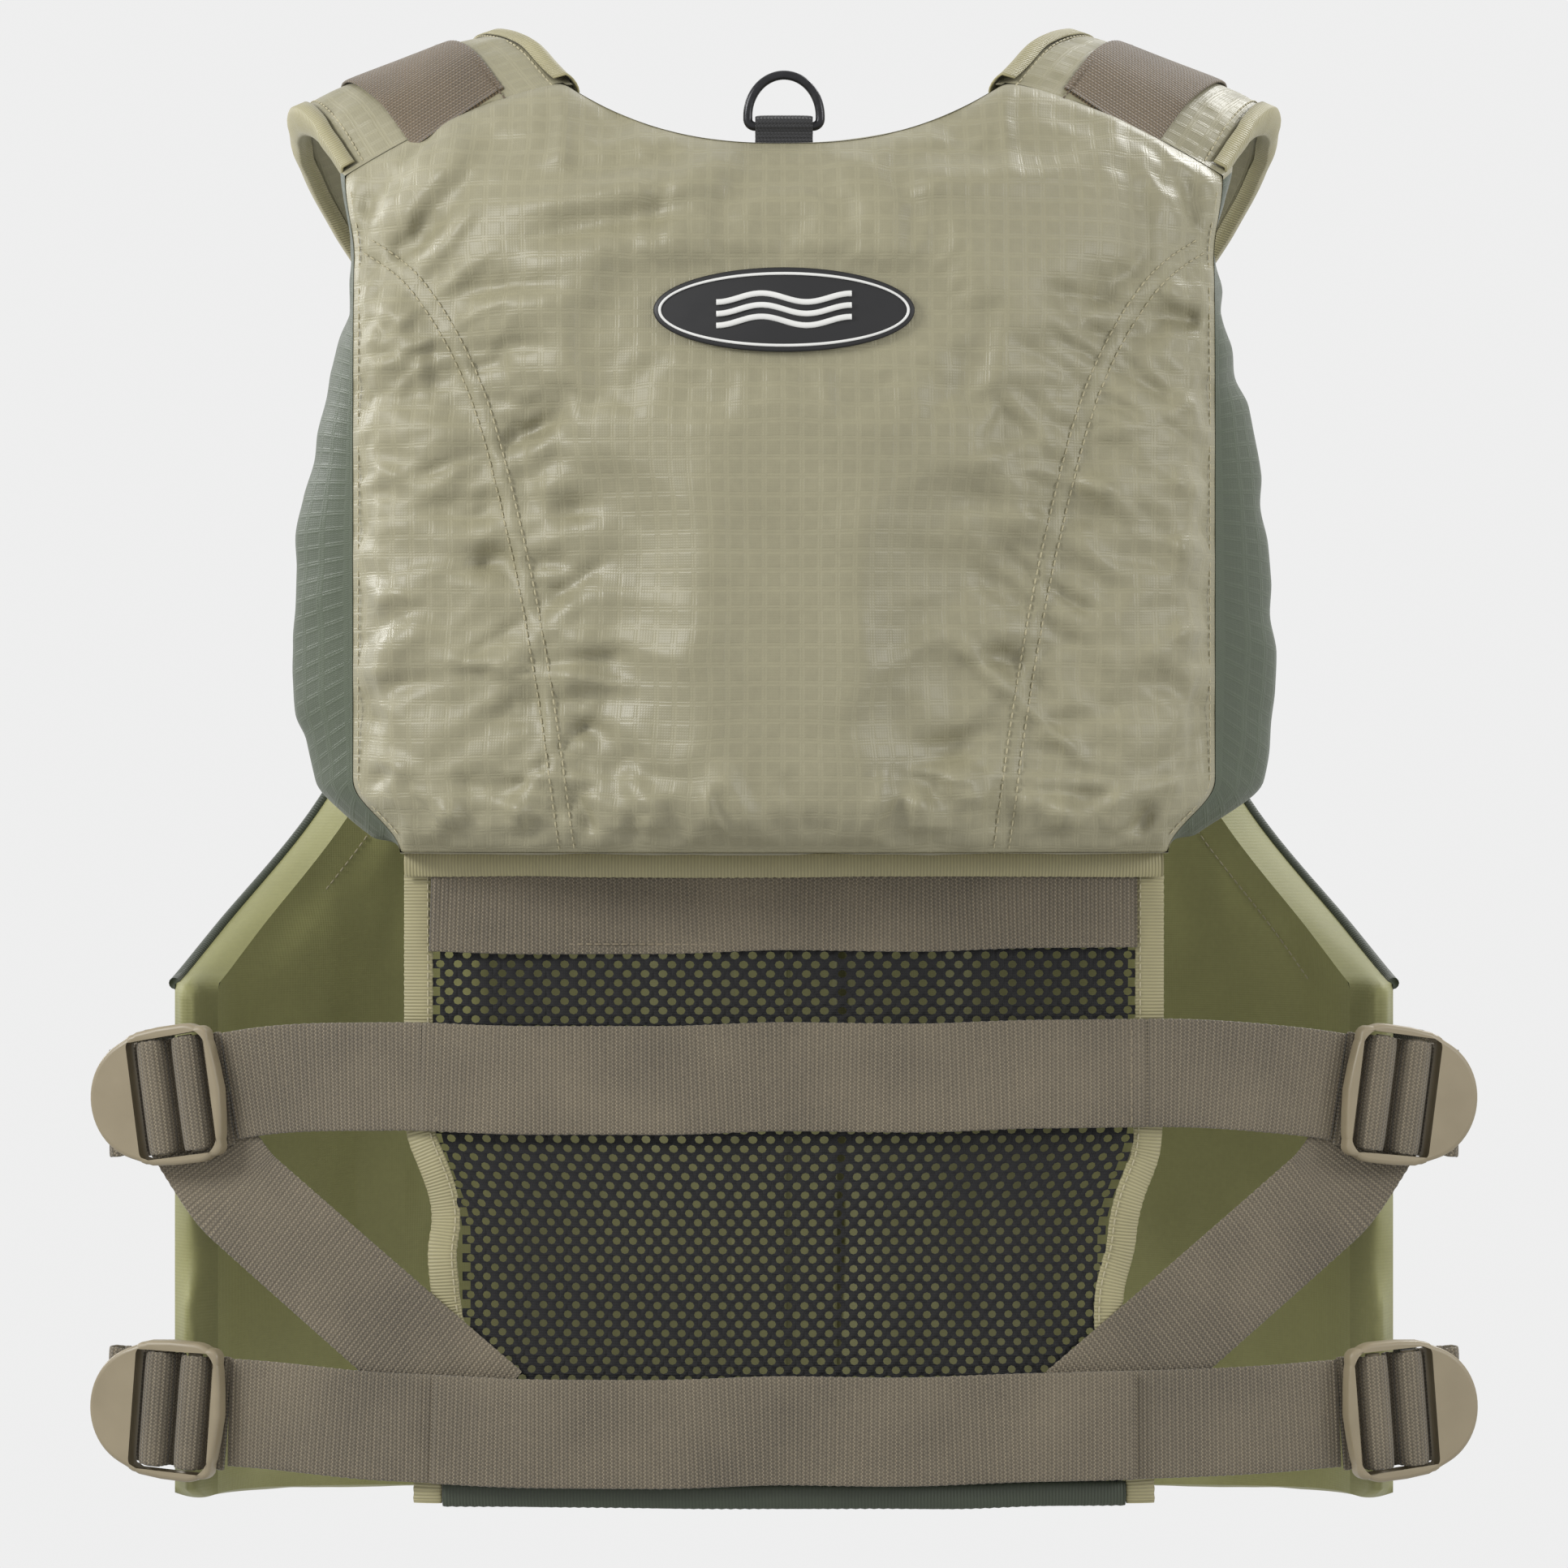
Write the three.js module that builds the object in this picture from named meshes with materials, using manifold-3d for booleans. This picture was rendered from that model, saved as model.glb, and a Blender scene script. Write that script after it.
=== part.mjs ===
// A fishing vest: a high-back buoyancy vest with a mesh lower back, two zipped front panels and
// six ladder-lock strap adjusters. Millimetres, +Z up. The wearer faces -Y and the wearer's left is +X.
// Heights below are measured up from the hem; the whole vest is lowered at the end, so that the
// origin lies between the shoulder straps at the height where they rest on the wearer.
import * as THREE from "three";
import { mergeVertices } from "three/addons/utils/BufferGeometryUtils.js";
import Module from "manifold-3d";

// ---------------------------------------------------------------- driving dimensions

// Cloth, webbing and the clearance between pieces that touch
const SKIN = 1.5; // laminated cover cloth with its seam allowance
const GAP = 0.4;
const FOAM_GAP = 2.5; // around the foam inside a front panel
const SEAM_GAP = 1; // between sewn pieces whose curved edges meet
const WEBBING_WIDTH = 38;
const WEBBING = 1.6; // thickness

// Body opening
const SHOULDER_REST = 498; // underside of the straps at the neck side
const BACK_Y = 80; // mesh at the centre back
const BACK_BOW = 38; // how far the back curves forward ...
const BOW_REACH = 220; // ... at this distance from the centre

// Back float
const FLOAT_HALF_WIDTH = 150;
const FLOAT_BOTTOM = 238;
const FLOAT_THICKNESS = 50;
const FLOAT_EDGE_ROLL = 10; // the cover turns in by this much at its edges
const FLOAT_CORNER = 17; // the bottom corners are cut back by this much
const FLOAT_OUTER_Y = 125; // outer face at the centre back
const FLOAT_BOW = 40; // at the float's side edge
const FLOAT_LEAN_FROM = 400; // above this height the float leans forward
const FLOAT_LEAN = 0.003; // per millimetre squared
const GUSSET_BULGE = 19;
const NECK_BACK = 482.5; // lowest point of the neckline
const NECK_RISE = 23.5;
const SHOULDER_DROP = 31; // fall of the shoulder seam from neck to arm
const SHOULDER_FLARE = 4; // the seam reaches this far beyond the float's side

// Mesh lower back and its tapes
const MESH = 1;
const MESH_HALF_WIDTH = 123;
const MESH_BOTTOM = 14;
const MESH_WAIST = 11; // how far the straps pull the mesh in below the middle strap
const BINDING_WIDTH = 9.5;
const BINDING = 2.2;
const TOP_BINDING_HEIGHT = 6;

// Back straps
const MID_STRAP_Z = 160;
const MID_STRAP_DROP = 5; // fall from the sewn joint to the buckle
const MID_STRAP_SEAM = 126;
const LOW_STRAP_Z = 37.6;
const LOW_STRAP_RISE = 3;
const LOW_STRAP_SEAM = 122;
const LOW_STRAP_TUCK = 22; // length of each end strap that lies under the centre strap
const STRAP_END = 195; // end of a back strap, under the buckle's edge
const STRAP_LIFT = 3.4; // height of the straps over the mesh, clear of tapes and diagonals
const DIAGONAL_LIFT = 1.5;
const DIAGONAL_FROM = { x: 103, z: 43 };
const DIAGONAL_TO = { x: 206, z: 130 };

// Ladder-lock buckle
const BUCKLE_HALF_LENGTH = 24.5;
const BUCKLE_RAIL = 4.5;
const BUCKLE_THICKNESS = 8;
const BUCKLE_SIDE_BAR = 5; // the frame's bar beyond the window, over the strap
const BUCKLE_CORNER = 10;
const WINDOW_LENGTH = 26.5;
const WINDOW_SPARE = 2; // window height over the webbing width
const BAR_WIDTH = 5.5;
const BAR_THICKNESS = 3;
const BAR_SPACING = 13.2;

// Front panels: the body side of each is a quarter ellipse in plan
const FRONT_HALF_WIDTH = 203;
const FRONT_DEPTH = 125;
const FRONT_CENTRE_Y = 25;
const FRONT_SIDE_ANGLE = 84; // degrees from the centre front to the side edge
const FRONT_THICKNESS = 42; // at the centre front
const FRONT_SIDE_THICKNESS = 24;
const FRONT_TOP = 395;
const FRONT_LEAN_FROM = 345;
const FRONT_LEAN = 0.008; // per millimetre squared
const FRONT_HEM_RISE = 8; // the hem is this much higher at the side
const ZIP_TOP = 345;
const ZIP_EDGE = 6.2; // from the centre line to the panel's edge, clear of the slider
const FRONT_NECK = 62; // from the centre line to the neck side of the strap joint
const ARM_TOP = 118; // to its arm side
const ARM_START = 190; // height where the armhole leaves the side

// Pockets
const POCKET = { x0: 24, x1: 0.75 * FRONT_HALF_WIDTH, z0: 26, z1: 214 };
const POCKET_DEPTH = 24;
const POCKET_EDGE_DEPTH = 15;
const POCKET_GAP = 1.2; // under the pocket, over the panel's facets
const POCKET_ZIP = { x: 52, z0: 48, z1: 190, width: 11 };

// Zip
const ZIP_BOTTOM = 6;
const TOOTH_WIDTH = 2.9;
const TOOTH_HEIGHT = 3.2;
const ZIP_CLEAR = 1.2; // between the slider at rest and the two rows of teeth
const ZIP_SPLIT = 0.65; // half the slit between the two rows of teeth
const TAPE_WIDTH = 12;
const TAPE = 0.8;
const SLIDER = { width: 11, length: 14, plate: 1.1 };
const PULL = { width: 7, length: 26, thickness: 1.4, rail: 1.4, eye: 6 };
const BRIDGE = { width: 2.4, half: 4, leg: 1.2, tunnel: 2.6 };

// Shoulder straps
const PAD_THICKNESS = 12;
const PAD_WEBBING_SHARE = 0.25; // half the webbing's width as a share of the pad's width

// Collar ring and badge
const RING_WIRE = 1.5; // radius
const RING_WIDTH = 25; // between wire centres
const RING_HEIGHT = 17.7;
const RING_PLAY = 0.8; // between the bar and the webbing loop
const TAB_WIDTH = 20;
const TAB_RISE = 6.4; // from the neckline to the ring's bar
const BADGE = { width: 89, height: 29, z: 423, thickness: 2 };

// ---------------------------------------------------------------- materials

const material = (color, roughness, metalness = 0) =>
  new THREE.MeshStandardMaterial({ color, roughness, metalness });
const KHAKI = material(0xb3aa88, 0.5);
const SAGE = material(0x55614f, 0.6);
const OLIVE = material(0x77743f, 0.7);
const FOAM = material(0xd8d4c4, 0.9);
const BLACK_MESH = material(0x26261f, 0.8);
const BINDING_TAPE = material(0xb0a679, 0.7);
const TAUPE_WEBBING = material(0x8b7f66, 0.85);
const BUCKLE_PLASTIC = material(0x9c8c6a, 0.45);
const BLACK_METAL = material(0x17181c, 0.35, 0.8);
const BLACK_WEBBING = material(0x1b1b1d, 0.8);
const RUBBER = material(0x1a1a1c, 0.5);
const ZIP_TEETH = material(0x3a332a, 0.5);

// ---------------------------------------------------------------- geometry helpers

const wasm = await Module();
wasm.setup();

const clamp01 = (t) => Math.min(1, Math.max(0, t));
const lerp = (a, b, t) => a + (b - a) * t;
const smooth = (from, to, x) => THREE.MathUtils.smoothstep(x, from, to);
const steps = (count) => Array.from({ length: count + 1 }, (_, i) => i / count);

// A closed geometry from points and triangles: equal points are merged, collapsed triangles
// dropped, and the faces turned outwards.
function closedGeometry(points, triangles) {
  const ids = new Map();
  const kept = [];
  const idOf = points.map((p) => {
    const key = p.map((c) => c.toFixed(3)).join();
    if (!ids.has(key)) {
      ids.set(key, kept.length);
      kept.push(p);
    }
    return ids.get(key);
  });
  const faces = triangles
    .map((t) => t.map((i) => idOf[i]))
    .filter(([a, b, c]) => a !== b && b !== c && a !== c);
  const corner = (i) => new THREE.Vector3(...kept[i]);
  const volume = faces.reduce(
    (sum, [a, b, c]) => sum + corner(a).dot(corner(b).cross(corner(c))),
    0,
  );
  const index = faces.flatMap(([a, b, c]) => (volume < 0 ? [a, c, b] : [a, b, c]));
  const geometry = new THREE.BufferGeometry();
  geometry.setAttribute("position", new THREE.Float32BufferAttribute(kept.flat(), 3));
  geometry.setIndex(index);
  return geometry;
}

// A closed solid between two sheets of points on the same grid.
function gridSolid(near, far, columns, rows) {
  const points = [];
  for (const sheet of [near, far])
    for (let j = 0; j <= rows; j++)
      for (let i = 0; i <= columns; i++) points.push(sheet(i, j));
  const at = (side, i, j) => (side * (rows + 1) + j) * (columns + 1) + i;
  const triangles = [];
  const quad = (a, b, c, d) => triangles.push([a, b, c], [a, c, d]);
  for (let j = 0; j < rows; j++)
    for (let i = 0; i < columns; i++) {
      quad(at(0, i, j), at(0, i + 1, j), at(0, i + 1, j + 1), at(0, i, j + 1));
      quad(at(1, i, j), at(1, i, j + 1), at(1, i + 1, j + 1), at(1, i + 1, j));
    }
  for (let i = 0; i < columns; i++) {
    quad(at(0, i, 0), at(1, i, 0), at(1, i + 1, 0), at(0, i + 1, 0));
    quad(at(0, i, rows), at(0, i + 1, rows), at(1, i + 1, rows), at(1, i, rows));
  }
  for (let j = 0; j < rows; j++) {
    quad(at(0, 0, j), at(0, 0, j + 1), at(1, 0, j + 1), at(1, 0, j));
    quad(at(0, columns, j), at(1, columns, j), at(1, columns, j + 1), at(0, columns, j + 1));
  }
  return closedGeometry(points, triangles);
}

// A closed solid between two sheets given as functions of u and v, each sampled at its own steps.
function sheetSolid(near, far, us, vs) {
  const sampled = (sheet) => (i, j) => sheet(us[i], vs[j]);
  return gridSolid(sampled(near), sampled(far), us.length - 1, vs.length - 1);
}

// An open tray: a floor with a wall round it. place(u, v, lift, inset) gives a point of the slab;
// each ring, from the wall's open edge inwards, has its lift and its inset from the outline.
function traySolid(place, outerRings, innerRings, us, vs) {
  const last = outerRings.length - 1;
  const columns = us.length - 1 + 2 * last;
  const rows = vs.length - 1 + 2 * last;
  const inside = (list, k) => list[Math.min(Math.max(k - last, 0), list.length - 1)];
  const sheet = (rings) => (i, j) => {
    const ring = rings[Math.min(i, j, columns - i, rows - j, last)];
    const u = inside(us, i);
    const v = inside(vs, j);
    return place(u, v, ring.lift(u, v), ring.inset(u, v));
  };
  return gridSolid(sheet(outerRings), sheet(innerRings), columns, rows);
}

// A closed tube round a flat loop of points in the X-Z plane.
function loopTube(loop, radius, sides) {
  const points = [];
  const triangles = [];
  const count = loop.length;
  loop.forEach((p, i) => {
    const before = loop[(i + count - 1) % count];
    const after = loop[(i + 1) % count];
    const along = new THREE.Vector2(after.x - before.x, after.y - before.y).normalize();
    for (let k = 0; k < sides; k++) {
      const a = (2 * Math.PI * k) / sides;
      const out = radius * Math.cos(a);
      points.push([p.x + out * along.y, radius * Math.sin(a), p.y - out * along.x]);
    }
  });
  for (let i = 0; i < count; i++)
    for (let k = 0; k < sides; k++) {
      const a = i * sides + k;
      const b = i * sides + ((k + 1) % sides);
      const c = ((i + 1) % count) * sides + ((k + 1) % sides);
      const d = ((i + 1) % count) * sides + k;
      triangles.push([a, b, c], [a, c, d]);
    }
  return closedGeometry(points, triangles);
}

function toManifold(geometry) {
  const bare = geometry.clone();
  for (const name of ["normal", "uv"]) bare.deleteAttribute(name);
  const merged = mergeVertices(bare, 1e-4);
  return new wasm.Manifold(
    new wasm.Mesh({
      numProp: 3,
      vertProperties: new Float32Array(merged.attributes.position.array),
      triVerts: new Uint32Array(merged.index.array),
    }),
  );
}

// Joins geometries into one solid.
function joined(...geometries) {
  const [first, ...others] = geometries.map(toManifold);
  const mesh = others.reduce((sum, next) => sum.add(next), first).getMesh();
  const geometry = new THREE.BufferGeometry();
  const position = new Float32Array(mesh.numVert * 3);
  for (let i = 0; i < mesh.numVert; i++) {
    const start = i * mesh.numProp;
    position.set(mesh.vertProperties.subarray(start, start + 3), i * 3);
  }
  geometry.setAttribute("position", new THREE.BufferAttribute(position, 3));
  geometry.setIndex(new THREE.BufferAttribute(mesh.triVerts, 1));
  return geometry;
}

// A box from its lowest corner to its highest.
function boxBetween(low, high) {
  const size = high.map((c, i) => c - low[i]);
  const box = new THREE.BoxGeometry(...size);
  return box.translate(...low.map((c, i) => c + size[i] / 2));
}

function piece(name, geometry, pieceMaterial) {
  const mesh = new THREE.Mesh(geometry, pieceMaterial);
  mesh.name = name;
  return mesh;
}

// ---------------------------------------------------------------- back float

const bow = (x) => BACK_Y - BACK_BOW * (x / BOW_REACH) ** 2;

// Height of the float's top edge: the neckline, then the shoulder seam. u runs from -1 to 1.
function floatTop(u) {
  const across = Math.abs(u) * 2;
  if (across <= 1) return NECK_BACK + NECK_RISE * across ** 2.4;
  return NECK_BACK + NECK_RISE - SHOULDER_DROP * (across - 1) ** 1.45;
}

function floatHalfWidth(z) {
  const corner = FLOAT_CORNER * (1 - smooth(FLOAT_BOTTOM, FLOAT_BOTTOM + 25, z));
  return FLOAT_HALF_WIDTH - corner + SHOULDER_FLARE * smooth(445, 475, z);
}

const floatLean = (z) => FLOAT_LEAN * Math.max(0, z - FLOAT_LEAN_FROM) ** 2;
const floatFace = (x, z) =>
  FLOAT_OUTER_Y - FLOAT_BOW * (x / FLOAT_HALF_WIDTH) ** 2 - floatLean(z);
const floatThickness = (z) => FLOAT_THICKNESS * (1 - 0.6 * smooth(440, 500, z));

// A point of the float, u and v from 0 to 1, lift from its body side, inset from its outline.
function inFloat(u, v, lift, inset) {
  const share = 2 * u - 1;
  const z = lerp(FLOAT_BOTTOM + inset, floatTop(share) - inset, v);
  const x = share * (floatHalfWidth(z) - inset);
  return [x, floatFace(x, z) - floatThickness(z) + lift, z];
}

const onEdge = (u, v) => u === 0 || u === 1 || v === 0 || v === 1;
const floatZ = (u, v) => lerp(FLOAT_BOTTOM, floatTop(2 * u - 1), v);
const coverLift = (u, v) =>
  floatThickness(floatZ(u, v)) - (onEdge(u, v) ? FLOAT_EDGE_ROLL : 0);

// The side wall puffs out between the armhole and the bottom corner.
function gussetBulge(u, v) {
  const side = u === 0 || u === 1 ? 1 : 0;
  const span = clamp01((floatZ(u, v) - FLOAT_BOTTOM) / (425 - FLOAT_BOTTOM));
  return side * GUSSET_BULGE * Math.sin(Math.PI * span ** 0.85);
}

function backFloat() {
  const us = steps(12);
  const vs = steps(7);
  const cover = sheetSolid(
    (u, v) => inFloat(u, v, coverLift(u, v), 0),
    (u, v) => inFloat(u, v, coverLift(u, v) - SKIN, 0),
    us,
    vs,
  );
  const inset = SKIN + GAP;
  const foam = sheetSolid(
    (u, v) => inFloat(u, v, coverLift(u, v) - inset, inset),
    (u, v) => inFloat(u, v, inset, inset),
    us,
    vs,
  );
  const ring = (lift, ringInset) => ({ lift, inset: ringInset });
  const openLift = (u, v) => coverLift(u, v) - SKIN - GAP;
  const middle = (u, v) => 0.45 * coverLift(u, v);
  const lining = traySolid(
    inFloat,
    [
      ring(openLift, () => 0),
      ring(middle, (u, v) => -gussetBulge(u, v)),
      ring(() => 0, () => 0),
    ],
    [
      ring(openLift, () => SKIN),
      ring(middle, (u, v) => SKIN - gussetBulge(u, v)),
      ring(() => SKIN, () => SKIN),
    ],
    us,
    vs,
  );
  return [
    piece("back_cover", cover, KHAKI),
    piece("back_foam", foam, FOAM),
    piece("back_lining", lining, SAGE),
  ];
}

function badge() {
  // The unit square is mapped to a disc, so that the plate's rim is one smooth oval.
  const surface = (lift) => (u, v) => {
    const a = 2 * u - 1;
    const b = 2 * v - 1;
    const x = (BADGE.width / 2) * a * Math.sqrt(1 - (b * b) / 2);
    const z = BADGE.z + (BADGE.height / 2) * b * Math.sqrt(1 - (a * a) / 2);
    return [x, floatFace(x, z) + lift, z];
  };
  const geometry = sheetSolid(surface(GAP + BADGE.thickness), surface(GAP), steps(8), steps(4));
  return piece("badge_patch", geometry, RUBBER);
}

// ---------------------------------------------------------------- collar ring

const NECK_EDGE_Y =
  floatFace(0, NECK_BACK) - FLOAT_EDGE_ROLL - SKIN - RING_WIRE - RING_PLAY - WEBBING;
const RING_BAR_Z = NECK_BACK + TAB_RISE;

function collarTab() {
  // A webbing loop seen from the side: it wraps the ring's bar and runs down to the neckline.
  const hole = RING_WIRE + RING_PLAY;
  const outer = hole + WEBBING;
  const profile = new THREE.Shape();
  profile.moveTo(-WEBBING, SEAM_GAP - TAB_RISE);
  profile.lineTo(WEBBING, SEAM_GAP - TAB_RISE);
  profile.lineTo(outer, -0.6 * outer);
  profile.absarc(0, 0, outer, 0, Math.PI, false);
  profile.lineTo(-outer, -0.6 * outer);
  const bore = new THREE.Path();
  bore.absarc(0, 0, hole, 0, 2 * Math.PI, true);
  profile.holes.push(bore);
  const geometry = new THREE.ExtrudeGeometry(profile, {
    depth: TAB_WIDTH,
    bevelEnabled: false,
    curveSegments: 6,
  });
  geometry.translate(0, 0, -TAB_WIDTH / 2);
  geometry.rotateX(Math.PI / 2).rotateZ(Math.PI / 2);
  const mesh = piece("collar_tab", geometry, BLACK_WEBBING);
  mesh.position.set(0, NECK_EDGE_Y, RING_BAR_Z);
  return mesh;
}

function collarRing() {
  const half = RING_WIDTH / 2;
  const corner = 2.5;
  const outline = new THREE.Path();
  outline.moveTo(0, 0);
  outline.lineTo(half - corner, 0);
  outline.absarc(half - corner, corner, corner, -Math.PI / 2, 0, false);
  outline.absellipse(0, corner + 1, half, RING_HEIGHT - corner - 1, 0, Math.PI, false);
  outline.absarc(corner - half, corner, corner, Math.PI, 1.5 * Math.PI, false);
  const loop = outline.getSpacedPoints(40).slice(0, -1);
  const mesh = piece("collar_ring", loopTube(loop, RING_WIRE, 8), BLACK_METAL);
  mesh.position.set(0, NECK_EDGE_Y, RING_BAR_Z);
  return mesh;
}

// ---------------------------------------------------------------- mesh back and its straps

const MESH_TOP = FLOAT_BOTTOM - GAP;

// Half the width of the mesh: full at the top, pulled in below the middle strap.
function meshHalfWidth(z) {
  const below = 1 - smooth(MID_STRAP_Z - 55, MID_STRAP_Z - 15, z);
  const flare = 1 - smooth(MESH_BOTTOM, LOW_STRAP_Z + 40, z);
  return MESH_HALF_WIDTH - MESH_WAIST * below * (1 - 0.7 * flare);
}

// A patch on the back's curve between two lifts over the mesh's middle.
function onBack(halfWidth, low, high, bottom, top, us, vs) {
  const sheet = (lift) => (u, v) => {
    const z = lerp(bottom, top, v);
    const x = (2 * u - 1) * halfWidth(z);
    return [x, bow(x) + lift, z];
  };
  return sheetSolid(sheet(high), sheet(low), us, vs);
}

function meshPanel() {
  const panel = onBack(
    meshHalfWidth,
    -MESH / 2,
    MESH / 2,
    MESH_BOTTOM,
    MESH_TOP,
    steps(12),
    steps(10),
  );
  const bandLow = MESH / 2 + GAP;
  const bandBottom = MESH_TOP - WEBBING_WIDTH + 2;
  const band = onBack(
    () => MESH_HALF_WIDTH,
    bandLow,
    bandLow + WEBBING,
    bandBottom,
    MESH_TOP,
    steps(12),
    [0, 1],
  );
  const bindingLow = bandLow + WEBBING + GAP;
  const binding = onBack(
    () => MESH_HALF_WIDTH + BINDING_WIDTH,
    bindingLow,
    bindingLow + BINDING / 2,
    MESH_TOP - TOP_BINDING_HEIGHT,
    MESH_TOP,
    steps(12),
    [0, 1],
  );
  return [
    piece("mesh_panel", panel, BLACK_MESH),
    piece("upper_back_band", band, TAUPE_WEBBING),
    piece("mesh_top_binding", binding, BINDING_TAPE),
  ];
}

function sideBinding(side) {
  const sheet = (lift) => (u, v) => {
    const z = lerp(MESH_BOTTOM, MESH_TOP - TOP_BINDING_HEIGHT - GAP, v);
    const x = meshHalfWidth(z) + SEAM_GAP + u * BINDING_WIDTH;
    return [x, bow(x) + lift, z];
  };
  const geometry = sheetSolid(sheet(BINDING / 2), sheet(-BINDING / 2), [0, 1], steps(12));
  return piece("mesh_side_binding_" + side, geometry, BINDING_TAPE);
}

// A strap on the back's curve whose centre line is a height for each x, as wide as the webbing.
function strapOnBack(x0, x1, centre, lift, columns) {
  const sheet = (height) => (u, v) => {
    const x = lerp(x0, x1, u);
    const slope = (centre(x + 0.5) - centre(x - 0.5)) / 1;
    const length = Math.hypot(slope, 1);
    const across = (v - 0.5) * WEBBING_WIDTH;
    const px = x - (across * slope) / length;
    return [px, bow(px) + height, centre(x) + across / length];
  };
  return sheetSolid(sheet(lift + WEBBING), sheet(lift), steps(columns), [0, 1]);
}

const endShare = (x, seam) => clamp01((x - seam) / (STRAP_END - seam));
const midStrapCentre = (x) => MID_STRAP_Z - MID_STRAP_DROP * endShare(x, MID_STRAP_SEAM) ** 2;
const lowStrapCentre = (x) => LOW_STRAP_Z + LOW_STRAP_RISE * endShare(x, LOW_STRAP_SEAM) ** 2;

function centreStraps() {
  const mid = strapOnBack(
    GAP - MID_STRAP_SEAM,
    MID_STRAP_SEAM - GAP,
    () => MID_STRAP_Z,
    STRAP_LIFT,
    12,
  );
  const low = strapOnBack(
    -LOW_STRAP_SEAM,
    LOW_STRAP_SEAM,
    () => LOW_STRAP_Z,
    STRAP_LIFT + WEBBING + GAP,
    12,
  );
  return [
    piece("mid_strap_centre", mid, TAUPE_WEBBING),
    piece("lower_strap_centre", low, TAUPE_WEBBING),
  ];
}

function diagonalStrap() {
  const run = new THREE.Vector2(DIAGONAL_TO.x - DIAGONAL_FROM.x, DIAGONAL_TO.z - DIAGONAL_FROM.z);
  const across = new THREE.Vector2(-run.y, run.x).normalize().multiplyScalar(WEBBING_WIDTH);
  const sheet = (lift) => (u, v) => {
    const x = DIAGONAL_FROM.x + run.x * u + across.x * (v - 0.5);
    const z = DIAGONAL_FROM.z + run.y * u + across.y * (v - 0.5);
    return [x, bow(x) + lift, z];
  };
  const top = DIAGONAL_LIFT + WEBBING - 0.2;
  return sheetSolid(sheet(top), sheet(DIAGONAL_LIFT), steps(8), steps(3));
}

function backStraps(side) {
  const mid = strapOnBack(MID_STRAP_SEAM, STRAP_END - GAP, midStrapCentre, STRAP_LIFT, 6);
  const lowFrom = LOW_STRAP_SEAM - LOW_STRAP_TUCK;
  const low = strapOnBack(lowFrom, STRAP_END - GAP, lowStrapCentre, STRAP_LIFT, 8);
  return [
    piece("mid_strap_end_" + side, mid, TAUPE_WEBBING),
    piece("lower_strap_end_" + side, low, TAUPE_WEBBING),
    piece("diagonal_strap_" + side, diagonalStrap(), TAUPE_WEBBING),
  ];
}

// ---------------------------------------------------------------- ladder-lock buckle

// The buckle's own frame: +X from the strap to the lobe, +Y across the webbing, -Z away from
// the wearer. Its edge at -X lies over the end of the strap.
const WINDOW_HALF = (WEBBING_WIDTH + WINDOW_SPARE) / 2;
const WINDOW_START = -BUCKLE_HALF_LENGTH + BUCKLE_SIDE_BAR;
const WINDOW_END = WINDOW_START + WINDOW_LENGTH;
const FIRST_BAR = WINDOW_START + 6.8;
const SECOND_BAR = FIRST_BAR + BAR_SPACING;
const STRAP_DEPTH = BUCKLE_THICKNESS / 2 + GAP + WEBBING / 2; // strap's middle below the frame's

function buckleFrame() {
  const top = WINDOW_HALF + BUCKLE_RAIL;
  const end = -BUCKLE_HALF_LENGTH;
  const shape = new THREE.Shape();
  shape.moveTo(end, BUCKLE_CORNER - top);
  shape.quadraticCurveTo(end, -top, end + BUCKLE_CORNER, -top);
  shape.lineTo(WINDOW_END - 2, -top);
  shape.bezierCurveTo(17, -top, BUCKLE_HALF_LENGTH, -0.6 * top, BUCKLE_HALF_LENGTH, 0);
  shape.bezierCurveTo(BUCKLE_HALF_LENGTH, 0.6 * top, 17, top, WINDOW_END - 2, top);
  shape.lineTo(end + BUCKLE_CORNER, top);
  shape.quadraticCurveTo(end, top, end, top - BUCKLE_CORNER);
  const opening = new THREE.Path();
  opening.moveTo(WINDOW_START, -WINDOW_HALF);
  opening.lineTo(WINDOW_END, -WINDOW_HALF);
  opening.lineTo(WINDOW_END, WINDOW_HALF);
  opening.lineTo(WINDOW_START, WINDOW_HALF);
  shape.holes.push(opening);
  const frame = new THREE.ExtrudeGeometry(shape, {
    depth: BUCKLE_THICKNESS,
    bevelEnabled: false,
    curveSegments: 5,
  });
  frame.translate(0, 0, -BUCKLE_THICKNESS / 2);
  const bar = (x) =>
    boxBetween(
      [x - BAR_WIDTH / 2, -WINDOW_HALF - 1, -BAR_THICKNESS / 2],
      [x + BAR_WIDTH / 2, WINDOW_HALF + 1, BAR_THICKNESS / 2],
    );
  return joined(frame, bar(FIRST_BAR), bar(SECOND_BAR));
}

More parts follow.
